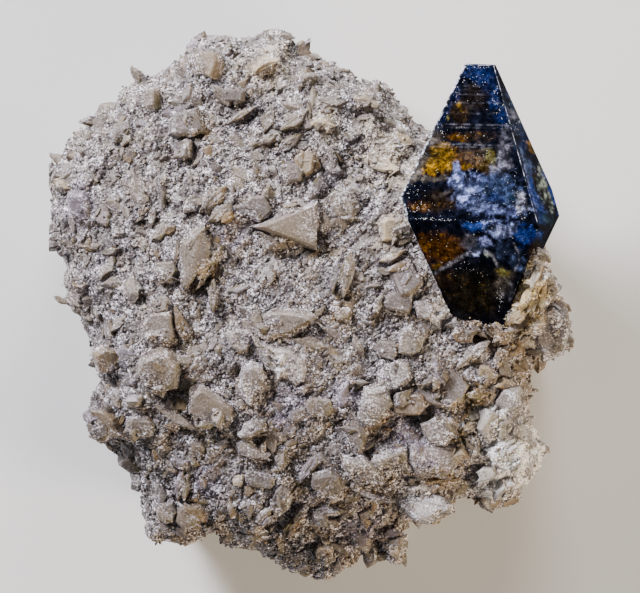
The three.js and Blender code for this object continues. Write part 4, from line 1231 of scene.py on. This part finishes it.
        write_colours(mesh, np.repeat(colours * bright, per_grain, axis=0), sugar)
        return new_object("matrix_grains", mesh)

    def build(self, sugar: bpy.types.NodeTree) -> None:
        """Builds and dresses the whole plate.

        Args:
            sugar: The shared grain group.
        """
        rock = self.rock()
        blades = self.blades()
        grains = self.grains()
        finish_piece(rock, RockFinish("sugary rock", 10000, 0.7).material(sugar))
        finish_piece(blades, RockFinish("bladed rock", 10000, 0.5).material(sugar))
        finish_piece(grains, RockFinish("rock grains", 10000, 0.2).material(sugar))
        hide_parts("matrix")


@dataclass
class Crystal:
    """The anatase crystal: a double pyramid with growth ledges, bevelled edges painted pale as wear
    and highlight, and dust.
    """

    frame: dict
    edge_bevel: float = 0.028
    edge_width: float = 0.018
    belt_fade: float = 0.022
    left_gain: float = 0.055
    low_fade: float = 0.03
    fine_step: float = 0.06
    coarse_step: float = 0.16
    ledge_depth: float = 0.02
    ledges: tuple[float, ...] = (10.84, 10.4, 9.98, 9.46, 8.88, 7.9)
    axis_turn: float = -1.3
    axis_x: float = 8.35
    flake_size: tuple[float, float] = (0.008, 0.023)
    loose_flakes: int = 200
    seed: int = 11
    surface: BVHTree = field(init=False)

    def colours(self, points: np.ndarray, edge_wear_and_highlight: np.ndarray) -> np.ndarray:
        """Paints the zones of colour, the veins and the pale edges, partly wear and partly painted
        highlight.

        Args:
            points: Places in mm.
            edge_wear_and_highlight: 1 on an edge of the crystal, 0 away from it.

        Returns:
            One linear colour a place.
        """
        flat = points * np.array([1, 1, 0.25])
        broad = noise_at(flat, 1.3, 2, 2.0)
        bend_x = points[:, 0] + 0.2 * broad + 0.1 * noise_at(flat, 4.2, 3, 6.0)
        bend_y = points[:, 1] + 0.2 * noise_at(flat, 1.3, 2, 9.0)
        bend_y += 0.1 * noise_at(flat, 4.2, 3, 13.0)
        speckle = noise_at(flat, 3.6, 5, 4.0)
        patches = noise_at(flat, 1.9, 4, 27.0)
        threads = np.clip(1 - 5 * np.abs(noise_at(flat, 2.3, 4, 17.0)), 0, 1) ** 2
        colours = np.tile(np.array(Hue.NIGHT.value), (len(points), 1))
        for number, cloud in enumerate(CLOUDS):
            turn = math.radians(cloud.turn)
            off_x, off_y = bend_x - cloud.x, bend_y - cloud.y
            along = (off_x * math.cos(turn) + off_y * math.sin(turn)) / cloud.reach_x
            across = (-off_x * math.sin(turn) + off_y * math.cos(turn)) / cloud.reach_y
            grain = speckle if number % 2 else patches
            rough = 1.1 if cloud.hue in (Hue.MILK, Hue.MIST, Hue.PEARL, Hue.SAGE) else 0.55
            inside = np.clip(1.6 * (1.15 - np.hypot(along, across)) + rough * grain, 0, 1)
            colours = blend(colours, inside * cloud.strength, cloud.hue.value)
        blueness = np.clip(14 * (colours[:, 2] - colours[:, 0]), 0, 1)
        colours = blend(colours, threads * blueness * 0.22, Hue.MILK.value)
        crumple = np.clip(28 * colours[:, 0] - 0.3, 0, 1) * (colours[:, 2] > colours[:, 0])
        calm = np.clip(colours[:, 2] / np.maximum(5 * colours[:, 0], 1e-4) - 0.4, 0, 1)
        swing = (1.3 + 1.5 * crumple - 0.6 * calm) * speckle + (0.9 - 0.5 * calm) * patches
        swing -= 0.05 + 0.2 * crumple
        colours *= np.exp(np.clip(swing, -1.6, 1.1))[:, None]
        warmth = np.clip(3 * colours[:, 0] / np.maximum(colours[:, 2], 1e-4) - 5, 0, 1)
        spark = np.clip(7 * (noise_at(flat, 8.5, 2, 37.0) - 0.38), 0, 1) * warmth
        spark *= np.clip(colours[:, 0] / 0.02, 0, 1)
        colours += 0.45 * spark[:, None] * np.array(Hue.GOLD.value)
        wander = points[:, :2] + 0.03 * np.column_stack([speckle, patches])
        for vein in VEINS:
            away = np.full(len(points), 9.0)
            for start, end in zip(vein.corners, vein.corners[1:]):
                away = np.minimum(away, distance_to_line(wander, np.array(start), np.array(end)))
            broken = np.clip(0.55 + 1.8 * speckle, 0.1, 1)
            weight = np.clip(1.6 - away / vein.half_width, 0, 1) * broken
            colours = blend(colours, vein.strength * weight, vein.hue.value)
        broken = np.clip(0.4 + 2.4 * noise_at(points, 5.0, 2, 23.0), 0.04, 1)
        # Pale edges: partly wear, partly painted highlight.
        return blend(colours, edge_wear_and_highlight * broken, EDGE_WEAR_AND_HIGHLIGHT)

    def body(self) -> bpy.types.Object:
        """Builds the crystal from its solid: bevelled edges, fine slices and growth ledges."""
        shape = node_copy(self.frame, "anatase")
        bmesh.ops.dissolve_limit(
            shape, angle_limit=math.radians(1), verts=shape.verts, edges=shape.edges)
        rims = [(edge.verts[0].co.copy(), edge.verts[1].co.copy()) for edge in shape.edges]
        bmesh.ops.bevel(
            shape, geom=list(shape.edges), offset=self.edge_bevel, segments=3, profile=0.5,
            affect="EDGES", material=-1)
        turn = Matrix.Rotation(math.radians(self.axis_turn), 3, "Z")
        for normal in (turn @ Vector((0, 1, 0)), turn @ Vector((1, 0, 0))):
            self.slice_faces(shape, normal, self.fine_step, True)
            self.slice_faces(shape, normal, self.coarse_step, False)
        self.slice_faces(shape, Vector((0, 0, 1)), self.coarse_step, False)
        bmesh.ops.triangulate(shape, faces=shape.faces)
        mesh = mesh_from(shape, "anatase_crystal")
        places, normals, _ = vertex_arrays(mesh)
        along = places[:, :2] @ np.array((turn @ Vector((0, 1, 0)))[:2])
        across = places[:, :2] @ np.array((turn @ Vector((1, 0, 0)))[:2])
        for ledge in self.ledges:
            height = ledge - self.axis_x * math.sin(math.radians(self.axis_turn))
            step = np.clip((along - height) / self.fine_step + 1, 0, 1)
            fade = np.clip(1 - (along - height) / 0.5, 0, 1) * (normals[:, 2] > 0.8)
            places -= (self.ledge_depth * step * fade)[:, None] * normals
        move_vertices(mesh, places)
        # Pale edge paint, partly chipped wear and partly painted highlight: widest on the left
        # edges, which face the key light, narrower on the belt and the low right edges.
        nearest = np.full(len(places), 9.0)
        for start, end in rims:
            belt = abs(end.x - start.x) > abs(end.y - start.y) and start.y < 8
            away = distance_to_line(places, np.array(start), np.array(end))
            left = max(start.x, end.x) < 7.8 and not belt
            low_right = min(start.x, end.x) > 8.5 and max(start.y, end.y) < 4.5
            fade = -self.left_gain if left else self.low_fade if low_right else 0.0
            nearest = np.minimum(nearest, away + (self.belt_fade if belt else fade))
        edge_wear_and_highlight = np.clip(1.5 - nearest / self.edge_width, 0, 1)
        write_colours(mesh, self.colours(places, edge_wear_and_highlight), np.ones(len(places)))
        self.surface = surface_of(mesh, places)
        return new_object("anatase_crystal", mesh)

    def slice_faces(
        self, shape: bmesh.types.BMesh, normal: Vector, thickness: float, upper: bool
    ) -> None:
        """Cuts the crystal's faces into even strips.

        Args:
            shape: The crystal.
            normal: The direction square to the cuts.
            thickness: The width of a strip in mm.
            upper: Whether the faces that look up are cut, or the others.
        """
        ends = [vert.co.dot(normal) for vert in shape.verts]
        for step in range(1, int((max(ends) - min(ends)) / thickness) + 1):
            shape.normal_update()
            chosen = [face for face in shape.faces if (face.normal.z > 0.1) == upper]
            around = {edge for face in chosen for edge in face.edges}
            corners = {vert for face in chosen for vert in face.verts}
            bmesh.ops.bisect_plane(
                shape, geom=[*corners, *around, *chosen],
                plane_co=normal * (min(ends) + step * thickness), plane_no=normal)

    def dust(self) -> bpy.types.Object:
        """Strews white flakes over the crystal's upper side, thick in the drifts, as one mesh."""
        rng = np.random.default_rng(self.seed)
        spots = [(rng.uniform(4.5, 12.0), rng.uniform(0.2, 11.8)) for _ in range(self.loose_flakes)]
        for x, y, reach_x, reach_y, count in DUST_DRIFTS:
            spots += [
                (x + reach_x * rng.normal() * 0.6, y + reach_y * rng.normal() * 0.6)
                for _ in range(count)
            ]
        joined = bmesh.new()
        low, high = self.flake_size
        for x, y in spots:
            hit, normal = look_down(self.surface, x, y)
            size = low + (high - low) * rng.random() ** 2.5
            if hit is None or normal.z < 0.12:
                continue
            flat = Vector((0, 0, 1)).rotation_difference(normal).to_matrix().to_4x4()
            spin = Matrix.Rotation(rng.uniform(0, math.tau), 4, "Z")
            squash = Matrix.Diagonal((1.0, rng.uniform(0.5, 1.0), 0.45, 1.0))
            bmesh.ops.create_icosphere(
                joined, subdivisions=1, radius=size,
                matrix=Matrix.Translation(hit) @ flat @ spin @ squash)
        return new_object("anatase_dust", mesh_from(joined, "anatase_dust"))

    def build(self) -> None:
        """Builds and dresses the crystal and its dust."""
        body = self.body()
        dust = self.dust()
        finish_piece(body, CrystalFinish().material())
        finish_piece(dust, PlainFinish("dust", (0.92, 0.93, 0.96), 0.5, 5000).material())
        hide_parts("anatase")


@dataclass
class Studio:
    """A pale floor, soft lights and a camera that looks straight down on the druse."""

    view_middle: tuple[float, float] = (0.35, 0.325)
    view_width: float = 32.0
    focus_height: float = 9.0
    camera_height: float = 600.0
    floor_radius: float = 0.9

    def camera(self) -> None:
        """Adds the camera, square over the plate."""
        data = bpy.data.cameras.new("camera")
        rise = self.camera_height - self.focus_height
        data.lens = data.sensor_width * rise / self.view_width
        data.clip_start, data.clip_end = 0.05, 10.0
        camera = bpy.data.objects.new("camera", data)
        x, y = self.view_middle
        camera.location = Vector((x, y, self.camera_height)) * MM
        bpy.context.scene.collection.objects.link(camera)
        bpy.context.scene.camera = camera

    def floor(self) -> None:
        """Adds the floor, a wide pale disc just under the plate."""
        shape = bmesh.new()
        bmesh.ops.create_circle(shape, cap_ends=True, segments=96, radius=self.floor_radius)
        floor = new_object("floor", mesh_from(shape, "floor"))
        look = PlainFinish("pale floor", (0.72, 0.72, 0.71), 0.85, 40)
        floor.data.materials.append(look.material())

    def light(self, name: str, place: tuple[float, float, float], size: float, power: float,
              colour: Colour = (1.0, 1.0, 1.0)) -> None:
        """Adds a square soft light that faces the specimen.

        Args:
            name: Its name.
            place: Where it stands, in mm from the plate's middle.
            size: Its side in mm.
            power: Its power in watts.
            colour: Its colour.
        """
        data = bpy.data.lights.new(name, "AREA")
        data.size = size * MM
        data.energy = power
        data.color = colour
        lamp = bpy.data.objects.new(name, data)
        lamp.location = Vector(place) * MM
        lamp.rotation_mode = "QUATERNION"
        lamp.rotation_quaternion = (-Vector(place)).to_track_quat("-Z", "Y")
        bpy.context.scene.collection.objects.link(lamp)

    def build(self) -> None:
        """Sets up the floor, the lights and the camera."""
        self.camera()
        self.floor()
        self.light("key", (-170, 150, 150), 80, 2.05, (0.95, 0.94, 1.0))
        self.light("rim", (40, 260, 80), 90, 0.9)
        self.light("fill", (230, -140, 100), 110, 1.25, (1.0, 0.83, 0.62))
        world = bpy.data.worlds.new("studio")
        world.use_nodes = True
        world.node_tree.nodes["Background"].inputs["Color"].default_value = (0.9, 0.95, 1.0, 1.0)
        world.node_tree.nodes["Background"].inputs["Strength"].default_value = 0.11
        bpy.context.scene.world = world


def corners(box: tuple[Vector, Vector]) -> list[list[float]]:
    """Writes a box's two corners as plain lists."""
    return [list(corner) for corner in box]


def main() -> None:
    """Builds the studio, the plate and the crystal."""
    logging.basicConfig(level=logging.INFO, format="%(name)s: %(message)s")
    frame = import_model()
    Studio().build()
    Plate(frame).build(sugar_group())
    Crystal(frame).build()


if __name__ == "__main__":
    main()
